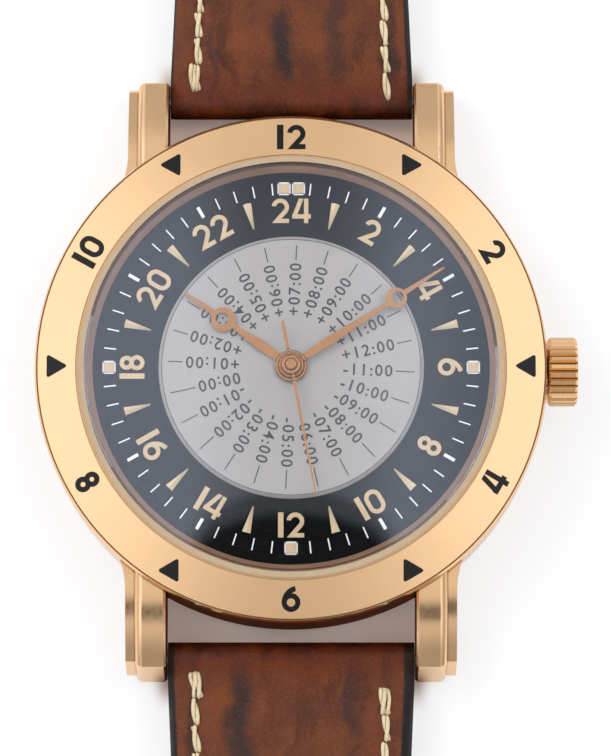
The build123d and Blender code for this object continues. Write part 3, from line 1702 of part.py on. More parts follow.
def strap_6():
    end = bar_y + tail_half_long
    low = [(-bar_y, bar_z - strap_loop_r), (-tail_low_y, 0), (-end, 0)]
    high = [
        (-bar_y, bar_z + strap_loop_r), (-strap_pad_y, strap_pad_top),
        (-strap_thin_y, strap_thin), (-end, strap_thin),
    ]
    body = strap_side(low, high) & extrude(strap_plan(end, -1, tail_tip_long), strap_pad_top + cut_over)
    body += strap_loop(-1)
    body -= bar_hole(-1)
    for hole in range(strap_holes):
        y = -(end - strap_hole_first - strap_hole_step * hole)
        body -= disc(strap_hole_r, -cut_over, strap_pad_top, (0, y))
    return body


buckle_y = bar_y + buckle_half_long


def buckle_frame():
    outer_half = buckle_inner_wide / 2 + buckle_arm
    long = buckle_inner_long + buckle_cross + buckle_behind
    outline = Rectangle(2 * outer_half, long)
    corners = [v for v in outline.vertices() if v.Y > 0]
    outline = fillet(corners, buckle_corner)
    inner = Rectangle(buckle_inner_wide, long)
    inner = fillet([v for v in inner.vertices() if v.Y > 0], buckle_corner - buckle_arm / 2)
    outline -= Pos(0, -buckle_cross) * inner
    frame = Pos(0, buckle_y - buckle_behind + long / 2, buckle_low) * extrude(outline, buckle_high)
    top = frame.faces().sort_by(Axis.Z)[-1]
    frame = fillet(top.edges(), buckle_round)
    hole_half = buckle_inner_wide / 2 + buckle_pin_reach
    frame -= cross_rod(buckle_bar_r, hole_half, buckle_y, buckle_bar_z)
    notch_y = buckle_y + buckle_inner_long + buckle_cross / 2
    notch = Box(tongue_wide + 2 * tongue_gap, 2 * buckle_cross, 2 * tongue_over)
    return frame - Pos(0, notch_y, buckle_high) * notch


def buckle_bar():
    return cross_rod(buckle_bar_r, buckle_inner_wide / 2 + buckle_pin_reach, buckle_y, buckle_bar_z)


def buckle_tongue():
    low = buckle_high - tongue_over + tongue_gap
    end = buckle_y + buckle_inner_long + buckle_cross
    eye = cross_rod(tongue_eye_r, tongue_wide / 2, buckle_y, buckle_bar_z)
    side = [
        (buckle_y, buckle_bar_z + tongue_eye_r - tongue_high), (buckle_y + 2 * tongue_eye_r, low),
        (end, low), (end, low + tongue_high / 2), (end - tongue_high, low + tongue_high),
        (buckle_y + tongue_eye_r, low + tongue_high), (buckle_y, buckle_bar_z + tongue_eye_r),
    ]
    body = side_cut(side, -tongue_wide / 2, tongue_wide / 2) + eye
    return body - cross_rod(buckle_bar_r + strap_hole_gap, tongue_wide, buckle_y, buckle_bar_z)


def keeper(back):
    """A leather loop across the strap, at a distance back from the buckle's bar."""
    inner_wide = strap_wide + 2 * keeper_side_gap
    outer = Rectangle(inner_wide + 2 * keeper_wall, keeper_inner_high + 2 * keeper_wall)
    outer = fillet(outer.vertices(), keeper_round + keeper_wall)
    inner = Rectangle(inner_wide, keeper_inner_high)
    inner = fillet(inner.vertices(), keeper_round)
    band = Plane.XZ * (outer - inner)
    middle = keeper_wall + keeper_inner_high / 2
    return Pos(0, buckle_y - back + keeper_long / 2, middle) * extrude(band, keeper_long)


bezel_solid, enamel_solid = bezel_and_enamel()

parts = {
    "mid_case": mid_case(),
    "bezel": bezel_solid,
    "bezel_enamel": enamel_solid,
    "crystal": crystal(),
    "crystal_gasket": crystal_gasket(),
    "rehaut_ring": rehaut_ring(),
    "case_back": case_back(),
    "case_back_gasket": case_back_gasket(),
    "spring_bars": group(spring_bar(bar_y), spring_bar(-bar_y)),
    "crown": crown(),
    "crown_gasket": crown_gasket(),
    "crown_tube": crown_tube(),
    "winding_stem": winding_stem(),
    "dial_plate": dial_plate(),
    "hour_numerals": hour_numerals(),
    "hour_wedges": hour_wedges(),
    "square_markers": square_markers(),
    "city_disc": city_disc(),
    "hour_hand": hour_hand(),
    "minute_hand": minute_hand(),
    "seconds_hand": seconds_hand(),
    "cannon_pinion": cannon_pinion(),
    "minute_wheel": minute_wheel(),
    "setting_wheel": setting_wheel(),
    "hour_wheel": hour_wheel(),
    "city_wheel": city_wheel(),
    "barrel": barrel(),
    "mainspring": mainspring(),
    "centre_wheel": centre_wheel(),
    "third_wheel": third_wheel(),
    "fourth_wheel": fourth_wheel(),
    "escape_wheel": escape_wheel(),
    "pallet_fork": pallet_fork(),
    "balance_wheel": balance_wheel(),
    "hairspring": hairspring(),
    "jewels": jewels(),
    "main_plate": main_plate(),
    "train_bridge": train_bridge(),
    "balance_cock": balance_cock(),
    "automatic_bridge": automatic_bridge(),
    "movement_ring": movement_ring(),
    "bridge_screws": bridge_screws(),
    "ratchet_wheel": ratchet_wheel(),
    "crown_wheel": crown_wheel(),
    "click": click(),
    "winding_pinion": winding_pinion(),
    "clutch_wheel": clutch_wheel(),
    "setting_lever": setting_lever(),
    "yoke": yoke(),
    "rotor": rotor(),
    "rotor_bearing": rotor_bearing(),
    "reversing_wheel": reversing_wheel(),
    "reduction_wheel": reduction_wheel(),
    "strap_12": strap_12(),
    "strap_6": strap_6(),
    "buckle_frame": buckle_frame(),
    "buckle_bar": buckle_bar(),
    "buckle_tongue": buckle_tongue(),
    "fixed_keeper": keeper(fixed_keeper_back),
    "free_keeper": keeper(free_keeper_back),
}

for name, shape in parts.items():
    export_step(shape, f"parts/{name}.step")
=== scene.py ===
"""Looks of a world time watch: its metals, dial printing, leather strap, stitching and stage."""
import math
import random

import bmesh
import bpy
from bpy.props import FloatProperty, FloatVectorProperty, PointerProperty
from mathutils import Matrix, Vector


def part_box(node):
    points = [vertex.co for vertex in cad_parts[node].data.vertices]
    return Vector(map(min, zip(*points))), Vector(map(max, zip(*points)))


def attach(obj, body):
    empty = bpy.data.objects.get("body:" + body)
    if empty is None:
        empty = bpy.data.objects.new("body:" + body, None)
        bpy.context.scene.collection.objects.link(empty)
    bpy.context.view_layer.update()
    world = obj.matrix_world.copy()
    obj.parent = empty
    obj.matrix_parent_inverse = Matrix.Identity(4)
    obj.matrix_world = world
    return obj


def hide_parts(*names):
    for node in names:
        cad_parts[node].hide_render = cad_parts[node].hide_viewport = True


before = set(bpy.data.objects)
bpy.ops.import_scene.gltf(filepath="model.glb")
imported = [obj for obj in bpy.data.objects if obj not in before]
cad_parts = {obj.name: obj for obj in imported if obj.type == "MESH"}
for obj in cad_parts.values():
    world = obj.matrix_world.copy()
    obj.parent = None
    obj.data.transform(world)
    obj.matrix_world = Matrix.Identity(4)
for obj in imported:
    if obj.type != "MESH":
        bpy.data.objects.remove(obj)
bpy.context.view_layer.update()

bl_info = {
    "name": "World Time Watch",
    "version": (1, 0, 0),
    "blender": (4, 5, 0),
    "location": "View3D > Sidebar > Watch",
    "description": "Finishes the metals, dial, crystal, leather strap and stage of a world time watch",
    "category": "Object",
}

MM = 0.001

# Sockets of a colour Mix node, which share their names with those of its other kinds
MIX_A = 6
MIX_B = 7
MIX_RESULT = 2

# Settings of the nodes that step softly from one value to another, and that blend colours
SOFT = {"interpolation_type": "SMOOTHSTEP"}
COLOUR = {"data_type": "RGBA"}

# Heights and radii of the carried-over pieces, read from the frame in millimetres
def low_z(node):
    """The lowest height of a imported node, in mm."""
    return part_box(node)[0].z / MM


def top_z(node):
    """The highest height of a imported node, in mm."""
    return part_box(node)[1].z / MM


def low_y(node):
    """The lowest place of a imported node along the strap, in mm."""
    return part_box(node)[0].y / MM


def reach_x(node):
    """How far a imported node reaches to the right, in mm."""
    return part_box(node)[1].x / MM


dial_top = low_z("hour_numerals")
disc_top = top_z("city_disc")

# Strap in mm: its bar, the loop round it and the places where its thickness changes
loop_r = 1.3
bar_y = low_y("strap_12") + loop_r
bar_z = (low_z("spring_bars") + top_z("spring_bars")) / 2
pad_y = bar_y + 3.8
pad_top = top_z("strap_12")
thin_y = bar_y + 38.3
taper_end = bar_y + 33.3
lug_half = reach_x("strap_12")
end_half = 8.0
end_loop_r = 1.35
tip_long = 6.5


def linear(code):
    """An sRGB hex code as linear red, green, blue and a full alpha."""
    shares = [int(code[start:start + 2], 16) / 255 for start in (0, 2, 4)]
    light = [s / 12.92 if s <= 0.04045 else ((s + 0.055) / 1.055) ** 2.4 for s in shares]
    return (*light, 1.0)


def tint(name, description, code):
    """A colour that a user may change."""
    return FloatVectorProperty(
        name=name, description=description, subtype="COLOR", size=4, min=0.0, max=1.0,
        default=linear(code),
    )


def length(name, description, millimetres):
    """A length that a user may change."""
    return FloatProperty(
        name=name, description=description, unit="LENGTH", precision=5, min=0.0,
        default=millimetres * MM,
    )


class WatchColours(bpy.types.PropertyGroup):
    """Colours of the watch's finishes."""

    gold: tint("Case gold", "Polished rose gold of the case, crown and buckle", "F3C899")
    hand_gold: tint("Hand gold", "Satin rose gold of the hands", "C48E5C")
    gilt: tint("Gilt", "Gilt figures and squares on the dial", "D2BB98")
    wedge_gilt: tint("Wedge gilt", "Facetted gilt wedges on the dial", "F0DDB8")
    lacquer: tint("Dial lacquer", "Black lacquer of the dial", "08090A")
    silvered: tint("Silvered disc", "Silvered finish of the turning disc", "A7A4A2")
    flange: tint("Flange", "Inner flange between crystal and dial", "BE967A")
    seal: tint("Crystal seal", "Moulded seal round the crystal", "B8A080")
    print_white: tint("White print", "Pad-printed minute track", "E8ECF1")
    print_dark: tint("Dark print", "Pad-printed figures on the disc", "2E2C2E")
    leather: tint("Leather", "Warm brown of the strap's grain side", "6E381C")
    leather_deep: tint("Leather, deep", "Darker brown of the strap's grain side", "44200F")
    smoke: tint("Smoke", "Dark growth marks drawn along the leather", "241B1C")
    burnt: tint("Burnt leather", "Orange brown of the leather by the case", "5E2208")
    charred: tint("Charred leather", "Nearly black brown of the leather at the bar", "200702")
    edge_paint: tint("Edge paint", "Paint on the strap's cut edges", "1B1514")
    lining: tint("Lining", "Smooth lining leather under the strap", "4B3328")
    thread: tint("Thread", "Waxed linen thread of the stitches", "E0D2AE")


class WatchSizes(bpy.types.PropertyGroup):
    """Sizes of the pieces that are made here."""

    letter_height: length("Letter height", "Height of the figures on the disc", 0.9)
    tick_long: length("Tick length", "Length of a minute mark", 0.92)
    tick_wide: length("Tick width", "Width of a minute mark", 0.1)
    stitch_pitch: length("Stitch pitch", "Distance from one stitch to the next", 2.05)
    stitch_in: length("Stitch inset", "From the strap's edge to its row of stitches", 2.0)
    thread_r: length("Thread ply radius", "Radius of one of the thread's two plies", 0.165)
    edge_bevel: length("Edge bevel", "Width of the strap's painted bevel", 0.7)


def colour(name):
    """One of the scene's colour settings."""
    return tuple(getattr(bpy.context.scene.watch_colours, name))


def size(name):
    """One of the scene's size settings, in mm."""
    return getattr(bpy.context.scene.watch_sizes, name) / MM


def per(millimetres):
    """The texture scale at which one feature is that wide."""
    return 1 / (millimetres * MM)


def dimmed(tone, *shares):
    """A colour whose red, green and blue are cut to those shares."""
    return [part * share for part, share in zip(tone, (*shares, 1.0))]


def span(value, begin, end, low=0.0, high=1.0):
    """What a step needs to run from low, where value is at begin, to high at end."""
    return {"Value": value, "From Min": begin, "From Max": end, "To Min": low, "To Max": high}


# Node helper and materials

# Radii in mm of the painted shade ring in the bezel's turned line and of the painted shade rings at
# the steps between the stacked hubs
LINE_R = 19.35
HUB_STEPS = (0.46, 0.77, 0.985, 1.22)

# How far a metal's softened face turns at an edge, and how much of the sky a corner sees where its
# painted shade starts and where it is full
EDGE_TURN = (0.998, 0.9)
CORNER_SKY = (0.8, 0.35)

# The ends of a metal's marks, how wide its haze is in mm, and the colour shares of haze and of the
# painted shade in corners
MARK_ENDS = (0.12, 0.4)
HAZE_WIDE = 3.5
HAZE_SHARES = (0.93, 0.93, 0.93)
CORNER_SHADE_SHARES = (0.16, 0.1, 0.06)


def add(tree, kind, inputs=(), **settings):
    """Adds one node with its settings, and sets or links its inputs, given by name, by number or in
    order. A node given as an input is linked by its first output, and a Mix node by its colour."""
    node = tree.nodes.new(kind)
    for name, value in settings.items():
        setattr(node, name, value)
    for name, value in inputs.items() if isinstance(inputs, dict) else enumerate(inputs):
        if isinstance(value, bpy.types.Node):
            value = value.outputs[MIX_RESULT if value.bl_idname == "ShaderNodeMix" else 0]
        socket = node.inputs[name]
        if isinstance(value, bpy.types.NodeSocket):
            tree.links.new(value, socket)
        else:
            socket.default_value = value
    return node


def start(name):
    """A new material without nodes, and its tree."""
    material = bpy.data.materials.new(name)
    material.use_nodes = True
    material.node_tree.nodes.clear()
    return material, material.node_tree


def close(tree, shader):
    """Ends a material with its output."""
    add(tree, "ShaderNodeOutputMaterial", {"Surface": shader})


def worked_metal(
    name, tone, low, high, mark, drawn=(1, 1, 1), edge=0.05, depth=0.0004, metal=1.0, shade_reach=0.3,
):
    """A cut and finished metal: roughness runs from low to high between marks of that width in mm,
    drawn stretches the marks, edge is the radius in mm to which handling has softened the edges,
    and shade_reach how far from a corner its painted shade reaches, in mm."""
    material, tree = start(name)
    place = add(tree, "ShaderNodeTexCoord").outputs["Object"]
    along = add(tree, "ShaderNodeMapping", {"Vector": place, "Scale": drawn})
    marks = add(
        tree, "ShaderNodeTexNoise",
        {"Vector": along, "Scale": per(mark), "Detail": 5.0, "Roughness": 0.6},
    )
    haze = add(
        tree, "ShaderNodeTexNoise", {"Vector": place, "Scale": per(HAZE_WIDE), "Detail": 2.0},
    )
    soft = add(tree, "ShaderNodeBevel", {"Radius": edge * MM}, samples=4)
    face = add(tree, "ShaderNodeNewGeometry").outputs["Normal"]
    facing = add(
        tree, "ShaderNodeVectorMath", (soft, face), operation="DOT_PRODUCT",
    ).outputs["Value"]
    worn = add(tree, "ShaderNodeMapRange", span(facing, *EDGE_TURN))
    mixed = add(tree, "ShaderNodeMath", (marks, haze), operation="MULTIPLY")
    rough = add(tree, "ShaderNodeMapRange", span(mixed, *MARK_ENDS, low, high))
    rubbed = add(tree, "ShaderNodeMath", (worn, -low / 3, rough), operation="MULTIPLY_ADD")
    shade = add(
        tree, "ShaderNodeMix", {0: haze, MIX_A: dimmed(tone, *HAZE_SHARES), MIX_B: tone}, **COLOUR,
    )
    # Painted shade: corners that see little of the sky are darkened towards a dim, redder tone of the
    # metal
    open_sky = add(
        tree, "ShaderNodeAmbientOcclusion", {"Distance": shade_reach * MM}, samples=8,
    ).outputs["AO"]
    corner_shade = add(tree, "ShaderNodeMapRange", span(open_sky, *CORNER_SKY), **SOFT)
    shade = add(
        tree, "ShaderNodeMix", {0: corner_shade, MIX_A: shade, MIX_B: dimmed(tone, *CORNER_SHADE_SHARES)}, **COLOUR,
    )
    relief = add(
        tree, "ShaderNodeBump",
        {"Height": marks, "Strength": 0.5, "Distance": depth * MM, "Normal": soft},
    )
    close(tree, add(
        tree, "ShaderNodeBsdfPrincipled",
        {"Base Color": shade, "Metallic": metal, "Roughness": rubbed, "Normal": relief},
    ))
    return material


def polished_rose_gold():
    """Rose gold, turned and mop-polished: warm soft reflections with a light haze of fine marks."""
    return worked_metal("polished_rose_gold", colour("gold"), 0.17, 0.25, 0.35, depth=0.0002)


def lined(material, radii, half_wide, shade_tone, strength):
    """Paints shade into a turned part's steps: thin dark rings round its axis at those radii, in mm.
    """
    tree = material.node_tree
    shader = next(n for n in tree.nodes if n.type == "BSDF_PRINCIPLED")
    place = add(tree, "ShaderNodeTexCoord").outputs["Object"]
    flat = add(tree, "ShaderNodeVectorMath", (place, (1.0, 1.0, 0.0)), operation="MULTIPLY")
    radius = add(tree, "ShaderNodeVectorMath", (flat,), operation="LENGTH").outputs["Value"]
    dark = 0.0
    for ring_r in radii:
        gap = add(tree, "ShaderNodeMath", (radius, ring_r * MM), operation="SUBTRACT")
        off = add(tree, "ShaderNodeMath", (gap,), operation="ABSOLUTE")
        mark = add(
            tree, "ShaderNodeMapRange",
            span(off, half_wide * MM, half_wide / 2 * MM, 0.0, strength), **SOFT,
        )
        dark = add(tree, "ShaderNodeMath", (dark, mark), operation="MAXIMUM")
    # Painted shade: the rings darken the base colour towards the shade tone
    clean = shader.inputs["Base Color"].links[0].from_socket
    shade = add(tree, "ShaderNodeMix", {0: dark, MIX_A: clean, MIX_B: shade_tone}, **COLOUR)
    tree.links.new(shade.outputs[MIX_RESULT], shader.inputs["Base Color"])
    return material


def bezel_gold():
    """Rose gold, turned and mop-polished, with a painted shade line near its rim."""
    material = worked_metal("bezel_gold", colour("gold"), 0.14, 0.19, 0.35, depth=0.0002)
    # Painted shade: a brown ring along the turned line near the rim
    return lined(material, (LINE_R,), 0.07, linear("8A5A2C"), 0.6)


def crown_gold():
    """Rose gold, fluted with a cutter and brushed by wear, with darker, redder painted shade in its
    grooves.
    """
    return worked_metal("crown_gold", linear("F2C490"), 0.2, 0.3, 0.2, edge=0.04, shade_reach=0.14)


def satin_rose_gold():
    """Rose gold, diamond-cut and satined along the hand, with painted shade rings between the stacked
    hubs.
    """
    material = worked_metal(
        "satin_rose_gold", colour("hand_gold"), 0.2, 0.3, 0.06, edge=0.02, shade_reach=0.25,
    )
    # Painted shade: dark rings at the steps between the stacked hubs
    return lined(material, HUB_STEPS, 0.045, linear("4A2A10"), 0.85)


def gilt_figures():
    """Gilt brass, stamped and grained flat: a pale, nearly matt gold."""
    return worked_metal("gilt_figures", colour("gilt"), 0.42, 0.6, 0.05, edge=0.015, metal=0.7)


def gilt_wedges():
    """Gilt brass, facetted with a diamond tool: two bright slopes that meet in a ridge."""
    return worked_metal("gilt_wedges", colour("wedge_gilt"), 0.4, 0.55, 0.06, edge=0.01, metal=0.45)


def flange_gold():
    """Rose gold, turned with a fine radial cut: the tint of the case, but duller."""
    return worked_metal("flange_gold", colour("flange"), 0.28, 0.42, 0.12, edge=0.02, metal=0.5)


def movement_steel():
    """Steel, ground and polished: grey with fine grinding marks."""
    return worked_metal("movement_steel", linear("C9CBCD"), 0.16, 0.34, 0.05, (1, 8, 1), 0.02)


def blued_steel():
    """Spring steel, heat-blued: deep blue with a clean sheen."""
    return worked_metal("blued_steel", linear("3A4A86"), 0.2, 0.34, 0.05, edge=0.01)


def gilt_wheels():
    """Gilt brass, circularly grained: warm yellow wheels."""
    return worked_metal("gilt_wheels", linear("E3BF70"), 0.22, 0.38, 0.06, edge=0.02)


def striped_plates():
    """Rhodium-plated brass with wide polished stripes: light and dark bands across the bridges."""
    material, tree = start("striped_plates")
    place = add(tree, "ShaderNodeTexCoord").outputs["Object"]
    stripes = add(
        tree, "ShaderNodeTexWave", {"Vector": place, "Scale": per(1.4) / (2 * math.pi)},
        bands_direction="DIAGONAL", wave_profile="SAW",
    ).outputs["Fac"]
    grain = add(tree, "ShaderNodeTexNoise", {"Vector": place, "Scale": per(0.06), "Detail": 3.0})
    rough = add(tree, "ShaderNodeMapRange", {"Value": stripes, "To Min": 0.2, "To Max": 0.36})
    relief = add(
        tree, "ShaderNodeBump", {"Height": grain, "Strength": 0.3, "Distance": 0.001 * MM},
    )
    shade = add(
        tree, "ShaderNodeMix", {0: stripes, MIX_A: linear("BDB8AC"), MIX_B: linear("D9D4C6")},
        **COLOUR,
    )
    close(tree, add(
        tree, "ShaderNodeBsdfPrincipled",
        {"Base Color": shade, "Metallic": 1.0, "Roughness": rough, "Normal": relief},
    ))
    return material


def ruby_jewel():
    """Synthetic ruby, ground and polished: clear deep red."""
    material, tree = start("ruby_jewel")
    place = add(tree, "ShaderNodeTexCoord").outputs["Object"]
    cloud = add(tree, "ShaderNodeTexNoise", {"Vector": place, "Scale": per(0.4)})
    shade = add(
        tree, "ShaderNodeMix", {0: cloud, MIX_A: linear("8E0F2A"), MIX_B: linear("B81E3C")},
        **COLOUR,
    )
    close(tree, add(
        tree, "ShaderNodeBsdfPrincipled",
        {"Base Color": shade, "Roughness": 0.08, "IOR": 1.77, "Transmission Weight": 0.6},
    ))
    return material


def moulded(name, tone, low, high, grain, shine=0.5, depth=0.002):
    """A moulded, poured or painted skin: a little uneven in colour, roughness and level."""
    material, tree = start(name)
    place = add(tree, "ShaderNodeTexCoord").outputs["Object"]
    skin = add(tree, "ShaderNodeTexNoise", {"Vector": place, "Scale": per(grain), "Detail": 4.0})
    shade = add(
        tree, "ShaderNodeMix", {0: skin, MIX_A: dimmed(tone, 0.8, 0.8, 0.8), MIX_B: tone}, **COLOUR,
    )
    rough = add(tree, "ShaderNodeMapRange", span(skin, 0.3, 0.7, low, high))
    relief = add(
        tree, "ShaderNodeBump", {"Height": skin, "Strength": 0.4, "Distance": depth * MM},
    )
    close(tree, add(
        tree, "ShaderNodeBsdfPrincipled",
        {
            "Base Color": shade, "Roughness": rough, "IOR": 1.5, "Specular IOR Level": shine,
            "Normal": relief,
        },
    ))
    return material


def stoned_enamel():
    """Enamel, filled into the engraving and stoned flat: deep black with a soft gloss."""
    return moulded("stoned_enamel", linear("0B0A0B"), 0.2, 0.28, 0.2, 0.28)


def nitrile_rubber():
    """Nitrile rubber, moulded: matt black."""
    return moulded("nitrile_rubber", linear("1D1D1D"), 0.6, 0.8, 0.15)


def polymer_seal():
    """Polymer seal, moulded: a milky beige ring that takes the gold's tint."""
    return moulded("polymer_seal", colour("seal"), 0.35, 0.5, 0.3)


def dial_lacquer():
    """Lacquered brass, sprayed and flatted: near black, which takes its grey from reflections."""
    return moulded("dial_lacquer", colour("lacquer"), 0.3, 0.42, 0.5, 0.06, 0.0002)


def white_print():
    """Pad-printed ink: opaque white, slightly raised and matt."""
    return moulded("white_print", colour("print_white"), 0.5, 0.65, 0.08)


def dark_print():
    """Pad-printed ink: warm black, matt."""
    return moulded("dark_print", colour("print_dark"), 0.5, 0.65, 0.08)


def silvered_disc():
    """Silvered brass, grained with tartar and lacquered: an even, matt, cool grey."""
    material, tree = start("silvered_disc")
    place = add(tree, "ShaderNodeTexCoord").outputs["Object"]
    frost = add(tree, "ShaderNodeTexNoise", {"Vector": place, "Scale": per(0.09), "Detail": 4.0})
    cloud = add(tree, "ShaderNodeTexNoise", {"Vector": place, "Scale": per(6.0), "Detail": 2.0})
    bright = colour("silvered")
    shade = add(
        tree, "ShaderNodeMix", {0: cloud, MIX_A: dimmed(bright, 0.9, 0.9, 0.9), MIX_B: bright},
        **COLOUR,
    )
    relief = add(
        tree, "ShaderNodeBump", {"Height": frost, "Strength": 0.5, "Distance": 0.004 * MM},
    )
    rough = add(tree, "ShaderNodeMapRange", {"Value": frost, "To Min": 0.45, "To Max": 0.62})
    close(tree, add(
        tree, "ShaderNodeBsdfPrincipled",
        {"Base Color": shade, "Metallic": 0.35, "Roughness": rough, "Normal": relief},
    ))
    return material


def sapphire_crystal():
    """Synthetic sapphire, domed, polished and lightly coated against glare: clear, with soft
    surface reflections."""
    material, tree = start("sapphire_crystal")
    path = add(tree, "ShaderNodeLightPath").outputs
    glass = add(
        tree, "ShaderNodeBsdfPrincipled",
        {
            "Base Color": (1.0, 1.0, 1.0, 1.0), "Roughness": 0.0, "IOR": 1.6,
            "Transmission Weight": 1.0, "Specular Tint": linear("E4EEFF"),
        },
    )
    clear = add(tree, "ShaderNodeBsdfTransparent")
    inner = add(tree, "ShaderNodeMixShader", (path["Is Diffuse Ray"], glass, clear))
    close(tree, add(tree, "ShaderNodeMixShader", (path["Is Shadow Ray"], inner, clear)))
    return material


# The paint on the strap's rims: how far it reaches in from the left and the right edge, in mm
TOP_PAINT = (0.14, 0.4)
TAIL_PAINT = (0.5, 0.8)

# The tail's round tip
TIP_R = (end_half ** 2 + tip_long ** 2) / (2 * tip_long)
TIP_CENTRE = -low_y("strap_6") - TIP_R

# How far the leather's marks wander in mm, how they are drawn out along it, the share of a pore's
# size over which it deepens, and how dark it is
WANDER = 3.0
GROWTH_DRAWN = 0.18
PORE_ENDS = (0.1, 0.3)
PORE_STRENGTH = 0.35

# Smoky marks in mm: middle across, start and end along the strap, half width, strength
top_streaks = [
    (-0.8, 23.0, 28.0, 0.75, 0.9),
    (3.6, 22.6, 31.0, 0.9, 0.62),
    (-5.6, 24.4, 25.6, 0.4, 0.7),
    (-6.2, 20.0, 26.5, 0.35, 0.6),
    (7.6, 20.0, 30.0, 0.45, 0.7),
    (-2.8, 34.0, 44.0, 0.8, 0.7),
    (2.6, 40.0, 56.0, 0.9, 0.6),
    (-1.2, 52.0, 70.0, 0.8, 0.6),
    (4.0, 66.0, 86.0, 0.8, 0.6),
]
tail_streaks = [
    (-3.7, -31.0, -20.8, 0.85, 0.85),
    (4.5, -27.5, -21.4, 0.55, 0.7),
    (-7.6, -34.0, -20.0, 0.4, 0.7),
    (7.6, -23.4, -20.0, 0.6, 0.7),
    (1.6, -50.0, -34.0, 0.9, 0.6),
    (-2.6, -72.0, -52.0, 0.9, 0.6),
    (3.0, -92.0, -70.0, 0.9, 0.6),
    (-1.8, -128.0, -96.0, 0.8, 0.6),
]


def smoky(tree, across, along, streaks):
    """How dark the smoky marks make a point of the leather."""
    smoke = 0.0
    for middle, begin, end, half_wide, strength in streaks:
        gap = add(tree, "ShaderNodeMath", (across, middle * MM), operation="SUBTRACT")
        off = add(tree, "ShaderNodeMath", (gap,), operation="ABSOLUTE")
        mark = 1.0
        for fade in (
            span(along, (begin - 1.0) * MM, (begin + 1.0) * MM),
            span(along, (end + 1.0) * MM, (end - 1.0) * MM),
            span(off, half_wide * 1.7 * MM, half_wide * 0.2 * MM, 0.0, strength),
        ):
            share = add(tree, "ShaderNodeMapRange", fade, **SOFT)
            mark = add(tree, "ShaderNodeMath", (mark, share), operation="MULTIPLY")
        smoke = add(tree, "ShaderNodeMath", (smoke, mark), operation="MAXIMUM")
    return smoke


def radius_of(tree, first, second):
    """How far a point lies from the middle, from its places along two axes."""
    squares = [
        add(tree, "ShaderNodeMath", (place, place), operation="MULTIPLY")
        for place in (first, second)
    ]
    total = add(tree, "ShaderNodeMath", squares, operation="ADD")
    return add(tree, "ShaderNodeMath", (total,), operation="SQRT")


def rim_of(tree, across, along):
    """How far inside the strap's outline a point lies: straight taper, then the tail's round tip."""
    far = add(tree, "ShaderNodeMath", (along,), operation="ABSOLUTE")
    aside = add(tree, "ShaderNodeMath", (across,), operation="ABSOLUTE")
    half = add(
        tree, "ShaderNodeMapRange",
        span(far, (bar_y + loop_r) * MM, taper_end * MM, lug_half * MM, end_half * MM),
    )
    straight = add(tree, "ShaderNodeMath", (half, aside), operation="SUBTRACT")
    beyond = add(tree, "ShaderNodeMath", (far, TIP_CENTRE * MM), operation="SUBTRACT")
    past = add(tree, "ShaderNodeMath", (beyond, 0.0), operation="MAXIMUM")
    reach = radius_of(tree, past, aside)
    round_tip = add(tree, "ShaderNodeMath", (TIP_R * MM, reach), operation="SUBTRACT")
    before = add(tree, "ShaderNodeMath", (past, beyond), operation="SUBTRACT")
    tip = add(tree, "ShaderNodeMath", (round_tip, before), operation="ADD")
    return add(tree, "ShaderNodeMath", (straight, tip), operation="MINIMUM")


